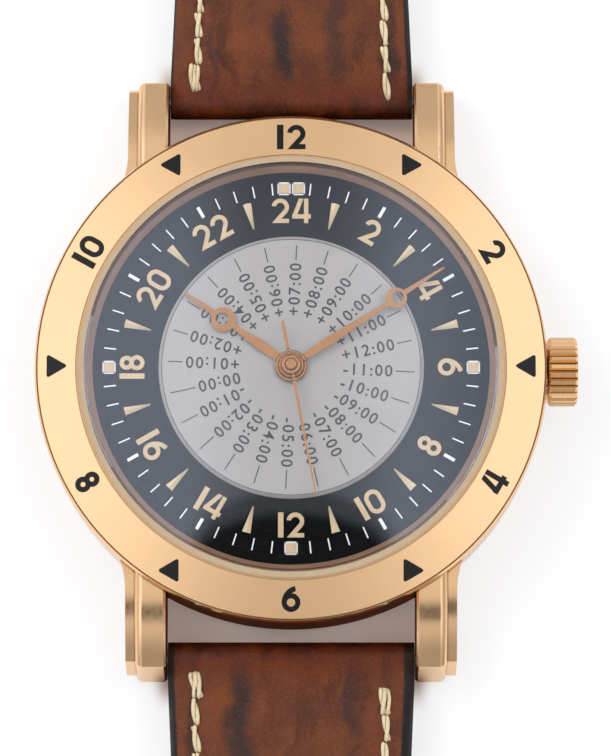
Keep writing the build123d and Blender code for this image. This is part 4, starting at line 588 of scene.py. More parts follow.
def strap_leather(name, streaks, paint):
    """Calf leather, bark-tanned, hand-rubbed and waxed: warm brown with smoky growth marks drawn
    out lengthwise, scorched darker towards the case, with fine pores and a low wax sheen. Paint
    gives how far the edge paint reaches in on the left and on the right, in mm."""
    material, tree = start(name)
    place = add(tree, "ShaderNodeTexCoord").outputs["Object"]
    wander = add(
        tree, "ShaderNodeTexNoise",
        {"Vector": place, "Scale": per(3.2), "Detail": 4.0, "Roughness": 0.6},
    ).outputs["Color"]
    centred = add(tree, "ShaderNodeVectorMath", (wander, (0.5, 0.5, 0.5)), operation="SUBTRACT")
    moved = add(
        tree, "ShaderNodeVectorMath", (centred, (WANDER * MM, WANDER * MM, 0.0), place),
        operation="MULTIPLY_ADD",
    )
    across, along = add(tree, "ShaderNodeSeparateXYZ", (moved,)).outputs[:2]
    stretched = add(tree, "ShaderNodeMapping", {"Vector": moved, "Scale": (1.0, GROWTH_DRAWN, 1.0)})
    cloud, veins, grain, crease = (
        add(
            tree, "ShaderNodeTexNoise",
            {"Vector": where, "Scale": per(wide), "Detail": detail, "Roughness": roughness},
        )
        for where, wide, detail, roughness in (
            (place, 3.0, 6.0, 0.65), (stretched, 1.5, 5.0, 0.55),
            (place, 0.16, 5.0, 0.7), (stretched, 0.9, 6.0, 0.6),
        )
    )
    pores = add(
        tree, "ShaderNodeTexVoronoi", {"Vector": place, "Scale": per(0.34), "Randomness": 1.0},
    )
    pits = add(tree, "ShaderNodeMapRange", span(pores, *PORE_ENDS), **SOFT)
    far = add(tree, "ShaderNodeMath", (along,), operation="ABSOLUTE")
    charred = add(tree, "ShaderNodeMapRange", span(far, 22.6 * MM, 20.3 * MM, 0.0, 0.96), **SOFT)

    # The edge paint's ragged border
    left_to_right, lengthwise = add(tree, "ShaderNodeSeparateXYZ", (place,)).outputs[:2]
    rim = rim_of(tree, left_to_right, lengthwise)
    ragged = add(tree, "ShaderNodeMapRange", span(grain, 0.3, 0.7, -0.06 * MM, 0.06 * MM), **SOFT)
    reach = add(tree, "ShaderNodeMath", (rim, ragged), operation="ADD")
    wide = add(
        tree, "ShaderNodeMapRange",
        span(left_to_right, -2.0 * MM, 2.0 * MM, paint[0] * MM, paint[1] * MM), **SOFT,
    )
    over = add(tree, "ShaderNodeMath", (reach, wide), operation="SUBTRACT")

    # The layers of colour, each with its strength, where it lies, and how far it polishes the skin
    skin = colour("leather_deep")
    rough = add(tree, "ShaderNodeMapRange", span(cloud, 0.3, 0.7, 0.42, 0.58), **SOFT)
    smoke = smoky(tree, across, along, streaks)
    for strength, fade, tone, polish in (
        (1.0, span(cloud, 0.3, 0.7, 0.25, 0.9), colour("leather"), 0.0),
        (1.0, span(veins, 0.5, 0.66, 0.0, 0.75), colour("leather_deep"), 0.0),
        (smoke, span(cloud, 0.25, 0.62, 0.75, 1.0), colour("smoke"), 0.0),
        (1.0, span(far, 24.6 * MM, 20.9 * MM, 0.0, 0.95), colour("burnt"), 0.16),
        (charred, span(veins, 0.3, 0.6, 0.35, 1.0), colour("charred"), 0.0),
        (1.0, span(pores, *PORE_ENDS, PORE_STRENGTH, 0.0), colour("edge_paint"), 0.0),
        (1.0, span(grain, 0.5, 0.75, 0.0, 0.22), linear("A86A40"), 0.0),
        (1.0, span(over, 0.1 * MM, -0.06 * MM), colour("edge_paint"), 0.12),
    ):
        share = add(tree, "ShaderNodeMapRange", fade, **SOFT)
        share = add(tree, "ShaderNodeMath", (share, strength), operation="MULTIPLY")
        skin = add(tree, "ShaderNodeMix", {0: share, MIX_A: skin, MIX_B: tone}, **COLOUR)
        if polish:
            less = add(tree, "ShaderNodeMath", (share, polish), operation="MULTIPLY")
            rough = add(tree, "ShaderNodeMath", (rough, less), operation="SUBTRACT")

    inputs = {}
    for height, strength, depth in ((crease, 0.6, 0.12), (pits, 0.5, 0.02), (grain, 0.5, 0.03)):
        inputs.update({"Height": height, "Strength": strength, "Distance": depth * MM})
        inputs["Normal"] = add(tree, "ShaderNodeBump", inputs)
    close(tree, add(
        tree, "ShaderNodeBsdfPrincipled",
        {
            "Base Color": skin, "Roughness": rough, "IOR": 1.5, "Specular IOR Level": 0.26,
            "Normal": inputs["Normal"],
        },
    ))
    return material


def painted_edge():
    """Edge paint on cut leather, rubbed down: black, lumpy and glossy."""
    return moulded("painted_edge", colour("edge_paint"), 0.3, 0.5, 0.4)


def lining_leather():
    """Lining leather, smooth and oiled: plain dark brown with a fine grain."""
    return moulded("lining_leather", colour("lining"), 0.5, 0.68, 0.2)


def waxed_thread():
    """Linen thread, two plies, waxed: cream, with painted brown shade in the hollows of the twist."""
    material, tree = start("waxed_thread")
    place = add(tree, "ShaderNodeTexCoord").outputs["Object"]
    fibre = add(
        tree, "ShaderNodeTexNoise",
        {"Vector": place, "Scale": per(0.12), "Detail": 5.0, "Roughness": 0.7},
    )
    hollow = add(
        tree, "ShaderNodeAmbientOcclusion", {"Distance": 0.25 * MM}, samples=6, only_local=True,
    ).outputs["AO"]
    shade = linear("C9B58A")
    for fade, tone in (
        (span(fibre, 0.3, 0.7), colour("thread")),
        # Painted shade: brown in the hollows of the twist, where little light reaches
        (span(hollow, 0.3, 0.95, 0.75, 0.0), linear("6E5434")),
    ):
        share = add(tree, "ShaderNodeMapRange", fade, **SOFT)
        shade = add(tree, "ShaderNodeMix", {0: share, MIX_A: shade, MIX_B: tone}, **COLOUR)
    relief = add(
        tree, "ShaderNodeBump", {"Height": fibre, "Strength": 0.6, "Distance": 0.02 * MM},
    )
    close(tree, add(
        tree, "ShaderNodeBsdfPrincipled",
        {"Base Color": shade, "Roughness": 0.75, "Sheen Weight": 0.25, "Normal": relief},
    ))
    return material


def made(maker, *details):
    """The material of that maker, made on its first use."""
    name = details[0] if details else maker.__name__
    return bpy.data.materials.get(name) or maker(*details)


def dress(maker, *nodes):
    """Gives carried-over CAD nodes a material."""
    for name in nodes:
        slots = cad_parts[name].data.materials
        slots.clear()
        slots.append(made(maker))


def placed(name, data):
    """A new object in the scene."""
    thing = bpy.data.objects.new(name, data)
    bpy.context.scene.collection.objects.link(thing)
    return thing


def new_piece(name, mesh, body, slot, *materials):
    """A piece in the frame, riding on its body."""
    piece = placed(name, mesh)
    for material in materials:
        mesh.materials.append(material)
    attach(piece, body)
    return piece


def mesh_of(name, bm):
    """A mesh from a bmesh that is built in mm, scaled to metres."""
    bmesh.ops.scale(bm, vec=(MM, MM, MM), verts=bm.verts)
    bmesh.ops.recalc_face_normals(bm, faces=bm.faces)
    mesh = bpy.data.meshes.new(name)
    bm.to_mesh(mesh)
    bm.free()
    return mesh


# Printing on dial and disc

PRINT_THICK = 0.012
TRACK_R = 13.8
SQUARE_OUT = 1.0
SQUARE_LINE = 0.12
PAIR_STEP = 1.1
THICK_TICK = 0.25

# The printed figures: room from one to the next, added weight, corners to a curve, and the share
# of a figure's height at which the font's own letters are drawn
LETTER_SPACE = 1.2
LETTER_WEIGHT = 0.012
LETTER_CURVE = 3
LETTER_SHARE = 0.7


def turned(degrees, radius, height):
    """The place at a clockwise angle from 12 o'clock, with its y axis pointing outwards."""
    return Matrix.Rotation(-math.radians(degrees), 4, "Z") @ Matrix.Translation((0, radius, height))


def slab(bm, place, wide, long, thick):
    """A thin flat bar of print."""
    matrix = place @ Matrix.Diagonal((wide, long, thick, 1))
    bmesh.ops.create_cube(bm, size=1, matrix=matrix)


def print_square(bm, place):
    """A printed square frame of four bars."""
    half = (SQUARE_OUT - SQUARE_LINE) / 2
    for quarter in range(4):
        side = place @ Matrix.Rotation(quarter * math.pi / 2, 4, "Z")
        slab(bm, side @ Matrix.Translation((0, half, 0)), SQUARE_OUT, SQUARE_LINE, PRINT_THICK)


def lettering(bm, words, height, place):
    """Plain sans figures of that height, printed from place along its x axis."""
    curve = bpy.data.curves.new("lettering", "FONT")
    curve.body = words
    curve.align_y = "CENTER"
    curve.space_character = LETTER_SPACE
    curve.resolution_u = LETTER_CURVE
    curve.offset = LETTER_WEIGHT
    curve.extrude = PRINT_THICK / 2 / height * LETTER_SHARE
    text = bpy.data.objects.new("lettering", curve)
    flat = bpy.data.meshes.new_from_object(text)
    low = min(v.co.y for v in flat.vertices)
    high = max(v.co.y for v in flat.vertices)
    scale = height / (high - low)
    left = min(v.co.x for v in flat.vertices)
    flat.transform(Matrix.Translation((-left, -(low + high) / 2, 0)))
    flat.transform(Matrix.Diagonal((scale, scale, scale, 1)))
    long = max(v.co.x for v in flat.vertices)
    flat.transform(place)
    bm.from_mesh(flat)
    bpy.data.objects.remove(text)
    bpy.data.curves.remove(curve)
    bpy.data.meshes.remove(flat)
    return long


class WATCH_OT_case(bpy.types.Operator):
    """Finish the case, bezel, back, crown and their seals"""

    bl_idname = "watch.case"
    bl_label = "Case"

    def execute(self, context):
        dress(polished_rose_gold, "mid_case", "case_back")
        dress(crown_gold, "crown")
        dress(bezel_gold, "bezel")
        dress(stoned_enamel, "bezel_enamel")
        dress(nitrile_rubber, "case_back_gasket", "crown_gasket")
        dress(movement_steel, "spring_bars", "crown_tube", "winding_stem")
        return {"FINISHED"}


class WATCH_OT_crystal(bpy.types.Operator):
    """Finish the crystal and the seal round it"""

    bl_idname = "watch.crystal"
    bl_label = "Crystal"

    def execute(self, context):
        dress(sapphire_crystal, "crystal")
        dress(polymer_seal, "crystal_gasket")
        return {"FINISHED"}


class WATCH_OT_dial(bpy.types.Operator):
    """Finish the dial, its flange and its applied figures, wedges and squares"""

    bl_idname = "watch.dial"
    bl_label = "Dial"

    def execute(self, context):
        dress(dial_lacquer, "dial_plate")
        dress(flange_gold, "rehaut_ring")
        dress(gilt_figures, "hour_numerals", "square_markers")
        dress(gilt_wedges, "hour_wedges")
        return {"FINISHED"}


class WATCH_OT_minute_track(bpy.types.Operator):
    """Print the minute track and the frames round the squares on the dial"""

    bl_idname = "watch.minute_track"
    bl_label = "Minute track"

    def execute(self, context):
        bm = bmesh.new()
        height = dial_top + PRINT_THICK / 2
        for minute in range(60):
            angle = minute * 6
            place = turned(angle, TRACK_R, height)
            if minute == 0:
                for side in (-1, 1):
                    print_square(bm, place @ Matrix.Translation((side * PAIR_STEP / 2, 0, 0)))
            elif minute % 15 == 0:
                print_square(bm, place)
            elif minute % 5 == 0:
                slab(bm, place, THICK_TICK, size("tick_long"), PRINT_THICK)
            else:
                slab(bm, place, size("tick_wide"), size("tick_long"), PRINT_THICK)
        mesh = mesh_of("minute_track", bm)
        new_piece("minute_track", mesh, "case", "black_dial", made(white_print))
        return {"FINISHED"}


LABEL_IN = 3.95
LABEL_GAP = 0.25
LEADER_OUT = 9.35
LEADER_WIDE = 0.08
DISC_TURN = 2.5
FIRST_HOUR = 7
# Radii in mm of a thin dark ring near the disc's rim, and how many pieces make it
LINE_IN = 9.77
LINE_OUT = 9.82
RING_PIECES = 180


class WATCH_OT_city_disc(bpy.types.Operator):
    """Finish the turning disc, print its zone figures and leader lines, and lay a thin dark ring near
    its rim
    """

    bl_idname = "watch.city_disc"
    bl_label = "Zone disc"

    def execute(self, context):
        dress(silvered_disc, "city_disc")
        bm = bmesh.new()
        height = disc_top + PRINT_THICK / 2
        for zone in range(24):
            hour = (FIRST_HOUR + zone + 11) % 24 - 11
            words = f"{hour:+03d}:00" if hour else "00:00"
            angle = math.radians(90 - DISC_TURN - zone * 15)
            turn = Matrix.Rotation(angle, 4, "Z")
            long = lettering(
                bm, words, size("letter_height"), turn @ Matrix.Translation((LABEL_IN, 0, height)),
            )
            inner = LABEL_IN + long + LABEL_GAP
            middle = turn @ Matrix.Translation(((inner + LEADER_OUT) / 2, 0, height))
            slab(bm, middle, LEADER_OUT - inner, LEADER_WIDE, PRINT_THICK)
        for step in range(RING_PIECES):
            turn = Matrix.Rotation(step * 2 * math.pi / RING_PIECES, 4, "Z")
            long = 2 * math.pi * LINE_OUT / RING_PIECES
            place = turn @ Matrix.Translation(((LINE_IN + LINE_OUT) / 2, 0, height))
            slab(bm, place, LINE_OUT - LINE_IN, long, PRINT_THICK)
        mesh = mesh_of("disc_figures", bm)
        new_piece("disc_figures", mesh, "cities", "silver_dial", made(dark_print))
        return {"FINISHED"}


class WATCH_OT_hands(bpy.types.Operator):
    """Finish the hour, minute and seconds hands"""

    bl_idname = "watch.hands"
    bl_label = "Hands"

    def execute(self, context):
        dress(satin_rose_gold, "hour_hand", "minute_hand", "seconds_hand")
        return {"FINISHED"}


class WATCH_OT_movement(bpy.types.Operator):
    """Finish the plates, wheels, springs and jewels inside the case"""

    bl_idname = "watch.movement"
    bl_label = "Movement"

    def execute(self, context):
        dress(
            striped_plates, "main_plate", "train_bridge", "balance_cock", "automatic_bridge",
            "movement_ring", "rotor",
        )
        dress(
            gilt_wheels, "minute_wheel", "hour_wheel", "city_wheel", "barrel", "centre_wheel",
            "third_wheel", "fourth_wheel", "balance_wheel", "reversing_wheel", "reduction_wheel",
        )
        dress(
            movement_steel, "cannon_pinion", "setting_wheel", "escape_wheel", "pallet_fork",
            "bridge_screws", "ratchet_wheel", "crown_wheel", "click", "winding_pinion",
            "clutch_wheel", "setting_lever", "yoke", "rotor_bearing",
        )
        dress(blued_steel, "mainspring", "hairspring")
        dress(ruby_jewel, "jewels")
        return {"FINISHED"}


# Strap shape in mm. Lengths along it are measured as distances from the hand axis

STRAP_ACROSS = 44
CROWN_SHARE = 0.13
CHANNEL_DEEP = 0.14
CHANNEL_HALF = 0.38
BEVEL_DROP = 0.5
EDGE_ROUND = 0.16
RIPPLE = 0.07
LINING_UP = 0.06
END_BAR_UP = 0.82

# How full the strap's section is by its distance from the bar, and where it is as thick as can be
FULLNESS = ((-loop_r, 0.25), (1.5, 0.4), (4.0, 1.0))
FULL_THICK = 2.0

# Over how many mm the ripples fade from the bar, and calm down at the edges
RIPPLE_FADE = 7.0
RIPPLE_CALM = 2.5

# Steps of the strap's sections in mm, near the bar, further on and at the buckle, and their counts
# round a loop and round the tip
FINE_STEP = 0.45
COARSE_STEP = 0.8
END_STEP = 0.15
END_LONG = 1.5
LOOP_STEPS = 8
TIP_STEPS = 26
TIP_SPARE = 2.0
SLIVER = 0.004


def between(value, points):
    """The height at value on straight lines through points."""
    for (x0, z0), (x1, z1) in zip(points, points[1:]):
        if value <= x1:
            share = max(0.0, (value - x0) / (x1 - x0))
            return z0 + (z1 - z0) * share
    return points[-1][1]


def arc(radius, off):
    """How high a circle stands at that distance from its middle."""
    return math.sqrt(max(radius ** 2 - off ** 2, 0.0))


def bridge(bm, first, second):
    """The faces between two rings of corners."""
    count = len(first)
    return [
        bm.faces.new((first[k], first[(k + 1) % count], second[(k + 1) % count], second[k]))
        for k in range(count)
    ]


class StrapShape:
    """The measures of one strap half: its end, its underside and its thin part's thickness."""

    def __init__(self, node, low_y, tail):
        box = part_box(node)
        self.tail = tail
        self.end = max(-box[0].y, box[1].y) / MM - (0 if tail else end_loop_r)
        self.low = 0.0 if tail else 1.0
        self.low_y = low_y
        self.thin = self.low + 2.4

    def half(self, y):
        """Half the strap's width at y."""
        wide = between(y, [(bar_y + loop_r, lug_half), (taper_end, end_half)])
        if self.tail and y > self.end - tip_long:
            return arc(TIP_R, y - self.end + TIP_R)
        return wide

    def top(self, y):
        """The height of the strap's middle at y."""
        if y < bar_y:
            return bar_z + arc(loop_r, bar_y - y)
        if y > self.end and not self.tail:
            bulge = arc(end_loop_r, y - self.end)
            return self.end_z() + bulge * (self.thin - self.end_z()) / end_loop_r
        return between(y, [(bar_y, bar_z + loop_r), (pad_y, pad_top), (thin_y, self.thin)])

    def bottom(self, y):
        """The height of the strap's underside at y."""
        if y < bar_y:
            return bar_z - arc(loop_r, bar_y - y)
        flat = between(y, [(bar_y, bar_z - loop_r), (self.low_y, self.low)])
        if self.tail or y < self.end - end_loop_r:
            return flat
        bulge = arc(end_loop_r, y - self.end)
        return min(flat, self.end_z() - bulge) if y < self.end else self.end_z() - bulge

    def end_z(self):
        """The height of the buckle bar in the strap's end."""
        return self.low + END_BAR_UP

    def inside(self, x, y):
        """How far a point lies inside the strap's outline."""
        gap = self.half(y) - abs(x)
        centre = self.end - TIP_R
        if self.tail and y > centre:
            gap = min(end_half - abs(x), TIP_R - math.hypot(x, y - centre))
        return max(gap, 0.0)

    def surface(self, x, y):
        """The height of the grain side: crowned, with a channel for the stitches and a bevel."""
        thick = self.top(y) - self.bottom(y)
        half = max(self.half(y), 0.01)
        gap = self.inside(x, y)
        soft = min(1.0, thick / FULL_THICK)
        full = between(y, [(bar_y + off, share) for off, share in FULLNESS])
        drop = CROWN_SHARE * full * thick * min(abs(x) / half, 1.0) ** 3
        drop += CHANNEL_DEEP * soft * math.exp(-((gap - size("stitch_in")) / CHANNEL_HALF) ** 2)
        bevel = size("edge_bevel")
        if gap < bevel:
            drop += BEVEL_DROP * full * soft * (1 - gap / bevel) ** 1.6
        fade = math.exp(-max(y - bar_y, 0.0) / RIPPLE_FADE) * soft
        ripple = math.sin(x * 1.9 + 0.6) + 0.6 * math.sin(x * 3.3 + y * 0.5)
        calm = min(1.0, gap / RIPPLE_CALM)
        return self.top(y) - drop + RIPPLE * fade * ripple * calm

    def stations(self):
        """The distances along the strap at which its section is set."""
        turns = [i * math.pi / 2 / LOOP_STEPS for i in range(LOOP_STEPS)]
        places = [bar_y - loop_r * math.cos(a) + SLIVER for a in turns]
        depth = tip_long + TIP_SPARE
        stop = self.end - (depth if self.tail else END_LONG)
        y = bar_y
        while y < stop:
            places.append(y)
            y += FINE_STEP if y < pad_y + 4 else COARSE_STEP
        if self.tail:
            shares = [1 - i / TIP_STEPS for i in range(TIP_STEPS + 1)]
            places += [self.end - depth * share ** 1.6 - 0.02 for share in shares]
        else:
            places += [self.end - END_LONG + END_STEP * i for i in range(round(END_LONG / END_STEP))]
            places += [self.end + end_loop_r * math.sin(a) for a in turns]
            places.append(self.end + end_loop_r - SLIVER)
        return places


def strap_mesh(name, shape, sign):
    """A closed strap: grain side, painted edges and lining, as material slots 0, 1 and 2."""
    bm = bmesh.new()
    rows = []
    for y in shape.stations():
        half = shape.half(y)
        row = []
        for step in range(STRAP_ACROSS + 1):
            share = math.sin(math.pi / 2 * (2 * step / STRAP_ACROSS - 1))
            share = 0.55 * share + 0.45 * (2 * step / STRAP_ACROSS - 1)
            x = share * half
            row.append(bm.verts.new((x, sign * y, shape.surface(x, y))))
        low = shape.bottom(y) + LINING_UP
        under = []
        for step in range(STRAP_ACROSS + 1):
            share = 2 * step / STRAP_ACROSS - 1
            x = -share * half
            inset = EDGE_ROUND * min(1.0, half / 3)
            near = max(0.0, 1 - (half - abs(x)) / max(inset, 1e-6))
            x = math.copysign(min(abs(x), half - inset * 0.6), x)
            lift = min(EDGE_ROUND, (shape.surface(x, y) - low) / 3) * near
            under.append(bm.verts.new((x, sign * y, low + lift)))
        walls = []
        for x_sign, top_vert in ((1, row[-1]), (-1, row[0])):
            high = top_vert.co.z
            rise = (high - low) * 0.2
            walls.append([
                bm.verts.new((x_sign * half, sign * y, high - rise)),
                bm.verts.new((x_sign * half, sign * y, low + rise)),
            ])
        ring = row + walls[0] + under + walls[1][::-1]
        rows.append(ring)
    for first, second in zip(rows, rows[1:]):
        for k, face in enumerate(bridge(bm, first, second)):
            if k < STRAP_ACROSS:
                face.material_index = 0
            elif STRAP_ACROSS + 3 <= k < 2 * STRAP_ACROSS + 3:
                face.material_index = 2
            else:
                face.material_index = 1
    for ring in (rows[0], rows[-1]):
        cap = bm.faces.new(ring)
        cap.material_index = 1
    bmesh.ops.triangulate(bm, faces=[f for f in bm.faces if len(f.verts) > 4])
    return mesh_of(name, bm)


def cut(piece, cutters):
    """Takes the cutters out of a piece and removes them."""
    for cutter in cutters:
        change = piece.modifiers.new("cut", "BOOLEAN")
        change.object = cutter
        change.operation = "DIFFERENCE"
        change.solver = "EXACT"
    graph = bpy.context.evaluated_depsgraph_get()
    mesh = bpy.data.meshes.new_from_object(piece.evaluated_get(graph), depsgraph=graph)
    piece.modifiers.clear()
    piece.data = mesh
    for cutter in cutters:
        bpy.data.objects.remove(cutter)


def rod_cutter(radius, long, place):
    """A round cutter along place's z axis, in mm."""
    bm = bmesh.new()
    bmesh.ops.create_cone(
        bm, cap_ends=True, segments=ROD_SIDES, radius1=radius, radius2=radius, depth=long,
        matrix=place,
    )
    return cutter_piece(bm)


def box_cutter(size_mm, place):
    """A square cutter, in mm."""
    bm = bmesh.new()
    bmesh.ops.create_cube(bm, size=1, matrix=place @ Matrix.Diagonal((*size_mm, 1)))
    return cutter_piece(bm)


def cutter_piece(bm):
    """A cutter whose faces leave cut leather behind."""
    for face in bm.faces:
        face.material_index = 1
    mesh = mesh_of("cutter", bm)
    for _ in range(3):
        mesh.materials.append(None)
    return placed("cutter", mesh)


def soften(mesh, degrees):
    """Shades a mesh smooth, apart from edges sharper than that."""
    mesh.shade_smooth()
    mesh.set_sharp_from_angle(angle=math.radians(degrees))


ROD_SIDES = 32
CUT_DEEP = 10
BAR_CLEAR_R = 0.8
FLANGE_CLEAR_R = 0.97
FLANGE_IN = 0.75
END_BAR_R = 0.6
END_BAR_CLEAR_R = 0.62
SLOT_WIDE = 2.6
SLOT_LONG = 6.0
HOLE_COUNT = 7
HOLE_STEP = 6.5
HOLE_FIRST = 27.0
HOLE_R = 0.85
ACROSS = Matrix.Rotation(math.pi / 2, 4, "Y")
half_12 = StrapShape("strap_12", pad_y + loop_r, False)
half_6 = StrapShape("strap_6", bar_y + 14.3, True)


def bar_cutters(y):
    """The clearance in a strap's loop for the spring bar and its two flanges."""
    cutters = [rod_cutter(BAR_CLEAR_R, 3 * lug_half, Matrix.Translation((0, y, bar_z)) @ ACROSS)]
    for side in (-1, 1):
        place = Matrix.Translation((side * lug_half, y, bar_z)) @ ACROSS
        cutters.append(rod_cutter(FLANGE_CLEAR_R, 2 * FLANGE_IN, place))
    return cutters


class WATCH_OT_straps(bpy.types.Operator):
    """Make the two leather strap halves with their holes and slot"""

    bl_idname = "watch.straps"
    bl_label = "Strap halves"

    def execute(self, context):
        upper = new_piece(
            "strap_buckle_half", strap_mesh("strap_buckle_half", half_12, 1), "strap_buckle_half",
            "strap_leather", made(strap_leather, "buckle_half_leather", top_streaks, TOP_PAINT),
            made(painted_edge), made(lining_leather),
        )
        end = half_12.end
        slot_y = end + end_loop_r - SLOT_LONG / 2 + 0.1
        cut(upper, [
            *bar_cutters(bar_y),
            rod_cutter(
                END_BAR_CLEAR_R, 3 * lug_half,
                Matrix.Translation((0, end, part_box("buckle_bar")[0].z / MM + END_BAR_R)) @ ACROSS,
            ),
            box_cutter((SLOT_WIDE, SLOT_LONG, CUT_DEEP), Matrix.Translation((0, slot_y, 2))),
        ])
        soften(upper.data, 40)
        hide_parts("strap_12")
        lower = new_piece(
            "strap_tail_half", strap_mesh("strap_tail_half", half_6, -1), "strap_tail_half",
            "strap_leather", made(strap_leather, "tail_half_leather", tail_streaks, TAIL_PAINT),
            made(painted_edge), made(lining_leather),
        )
        cutters = bar_cutters(-bar_y)
        for hole in range(HOLE_COUNT):
            y = -(half_6.end - HOLE_FIRST - HOLE_STEP * hole)
            cutters.append(rod_cutter(HOLE_R, CUT_DEEP, Matrix.Translation((0, y, 1))))
        cut(lower, cutters)
        soften(lower.data, 40)
        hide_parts("strap_6")
        return {"FINISHED"}


# A ply of thread: its sides and rings, its narrow ends, and how far it stands off the thread's
# middle, aside and upwards, as shares of its radius
PLY_SIDES = 7
PLY_RINGS = 11
PLY_END = 0.35
PLY_ASIDE = 0.85
PLY_UP = 0.7

# Stitches in mm, and how squarely they arch
ARCH_POWER = 6
TWIST_LONG = 3.6
STITCH_SLANT = 0.13
STITCH_SINK = 0.22
STITCH_GAP = -0.12
UNDER_UP = 0.35
KNOT_ASIDE = 0.34
KNOT_UP = 0.08
STITCH_SEED = 12

# Rows of the buckle half: its side, its start in mm, and whether it starts with a double stitch
BUCKLE_ROWS = ((-1, 22.45, True), (1, 21.85, False))
BUCKLE_ROW_END = 83.5
TAIL_ROW_STARTS = (22.9, 23.8)


def ply(bm, points, radius):
    """One ply of thread: a tube along points, closed at its ends."""
    rings = []
    for index, point in enumerate(points):
        before = points[max(index - 1, 0)]
        after = points[min(index + 1, len(points) - 1)]
        way = (after - before).normalized()
        side = way.cross(Vector((0, 0, 1)))
        side = side.normalized() if side.length > 1e-4 else Vector((1, 0, 0))
        up = side.cross(way)
        edge = index in (0, len(points) - 1)
        r = radius * (PLY_END if edge else 1.0)
        rings.append([
            bm.verts.new(point + side * r * math.cos(a) + up * r * math.sin(a))
            for a in (2 * math.pi * k / PLY_SIDES for k in range(PLY_SIDES))
        ])
    for first, second in zip(rings, rings[1:]):
        bridge(bm, first, second)
    bm.faces.new(rings[0])
    bm.faces.new(rings[-1])


def stitch(bm, start_at, end_at, height, lift, twist, facing=1):
    """One stitch: two plies twisted round each other, rising from the leather and back into it,
    facing up, or down under the strap."""
    radius = size("thread_r")
    span = (end_at - start_at).length
    way = (end_at - start_at) / span
    side = Vector((-way.y, way.x, 0))
    for turn in (0, math.pi):
        points = []
        for ring in range(PLY_RINGS):
            share = ring / (PLY_RINGS - 1)
            base = start_at.lerp(end_at, share)
            arch = (1 - (2 * share - 1) ** ARCH_POWER) * (lift + STITCH_SINK) - STITCH_SINK
            angle = twist + turn + 2 * math.pi * span * share / TWIST_LONG
            offset = side * math.cos(angle) * radius * PLY_ASIDE
            z = height(base) + facing * arch + math.sin(angle) * radius * PLY_UP
            points.append(Vector((base.x + offset.x, base.y + offset.y, z)))
        ply(bm, points, radius)


def spaced(points, pitch):
    """Places at even distances along a line through points."""
    out = [points[0]]
    left = pitch
    here = points[0]
    for point in points[1:]:
        while (point - here).length >= left:
            here = here + (point - here).normalized() * left
            out.append(here)
            left = pitch
        left -= (point - here).length
        here = point
    return out


def row_line(shape, sign, side, start_y, stop_y):
    """The line of a row of stitches, kept at its inset from the strap's edge."""
    inset = size("stitch_in")
    points = []
    y = start_y
    while y < stop_y:
        points.append(Vector((side * (shape.half(y) - inset), sign * y, 0)))
        y += 0.5
    return points


def tail_line(shape, start_left, start_right):
    """The row of stitches down the tail's left side, round its tip and up its right side."""
    inset = size("stitch_in")
    centre = shape.end - TIP_R
    radius = TIP_R - inset
    begin = math.acos((end_half - inset) / radius)
    turn_y = centre + radius * math.sin(begin)
    left = row_line(shape, -1, -1, start_left, turn_y)
    right = row_line(shape, -1, 1, start_right, turn_y)
    steps = 24
    arc = []
    for step in range(steps + 1):
        angle = begin + (math.pi - 2 * begin) * step / steps
        arc.append(Vector((-radius * math.cos(angle), -(centre + radius * math.sin(angle)), 0)))
    return left + arc + right[::-1]


def sewn(bm, shape, line, dice, knot_ends):
    """Stitches along a line on the grain side, and their returns on the lining."""
    def above(point):
        return shape.surface(point.x, abs(point.y))

    def below(point):
        return shape.bottom(abs(point.y)) + UNDER_UP

    places = spaced(line, size("stitch_pitch"))
    for index, (first, second) in enumerate(zip(places, places[1:])):
        way = (second - first).normalized()
        gap = way * STITCH_GAP / 2
        slant = Vector((STITCH_SLANT, 0, 0)) * (-1 if way.y > 0 else 1)
        slant *= abs(way.y) * dice.uniform(0.7, 1.25)
        loose = Vector((dice.uniform(-0.05, 0.05), dice.uniform(-0.06, 0.06), 0))
        start_at = first + gap - slant + loose
        end_at = second - gap + slant + loose
        lift = dice.uniform(0.1, 0.17)
        stitch(bm, start_at, end_at, above, lift, dice.uniform(0, math.pi))
        if (index == 0 and knot_ends[0]) or (index == len(places) - 2 and knot_ends[1]):
            aside = Vector((-way.y, way.x, 0)) * KNOT_ASIDE
            knot_up = lift + KNOT_UP
            stitch(bm, start_at + aside, end_at + aside, above, knot_up, dice.uniform(0, math.pi))
        stitch(bm, first + gap, second - gap, below, 0.0, dice.uniform(0, math.pi), -1)


class WATCH_OT_stitching(bpy.types.Operator):
    """Sew the rows of linen stitches along both strap halves"""

    bl_idname = "watch.stitching"
    bl_label = "Stitching"

    def execute(self, context):
        dice = random.Random(STITCH_SEED)
        bm = bmesh.new()
        for side, start_y, knotted in BUCKLE_ROWS:
            line = row_line(half_12, 1, side, start_y, BUCKLE_ROW_END)
            sewn(bm, half_12, line, dice, (knotted, True))
        self.place(bm, "stitches_buckle_half", "strap_buckle_half")
        bm = bmesh.new()
        sewn(bm, half_6, tail_line(half_6, *TAIL_ROW_STARTS), dice, (True, True))
        self.place(bm, "stitches_tail_half", "strap_tail_half")
        return {"FINISHED"}

    def place(self, bm, name, body):
        """Adds one half's stitches as a piece."""
        mesh = mesh_of(name, bm)
        mesh.shade_smooth()
        new_piece(name, mesh, body, "strap_leather", made(waxed_thread))


KEEPER_SIDES = 12
KEEPER_STEPS = 8
KEEPER_CORNER = 1.5
KEEPER_BOW = 0.22
KEEPER_SKIN = 0.9

# The keepers have no paint on their grain side, so its border lies outside them
KEEPER_PAINT = (-2.0, -2.0)


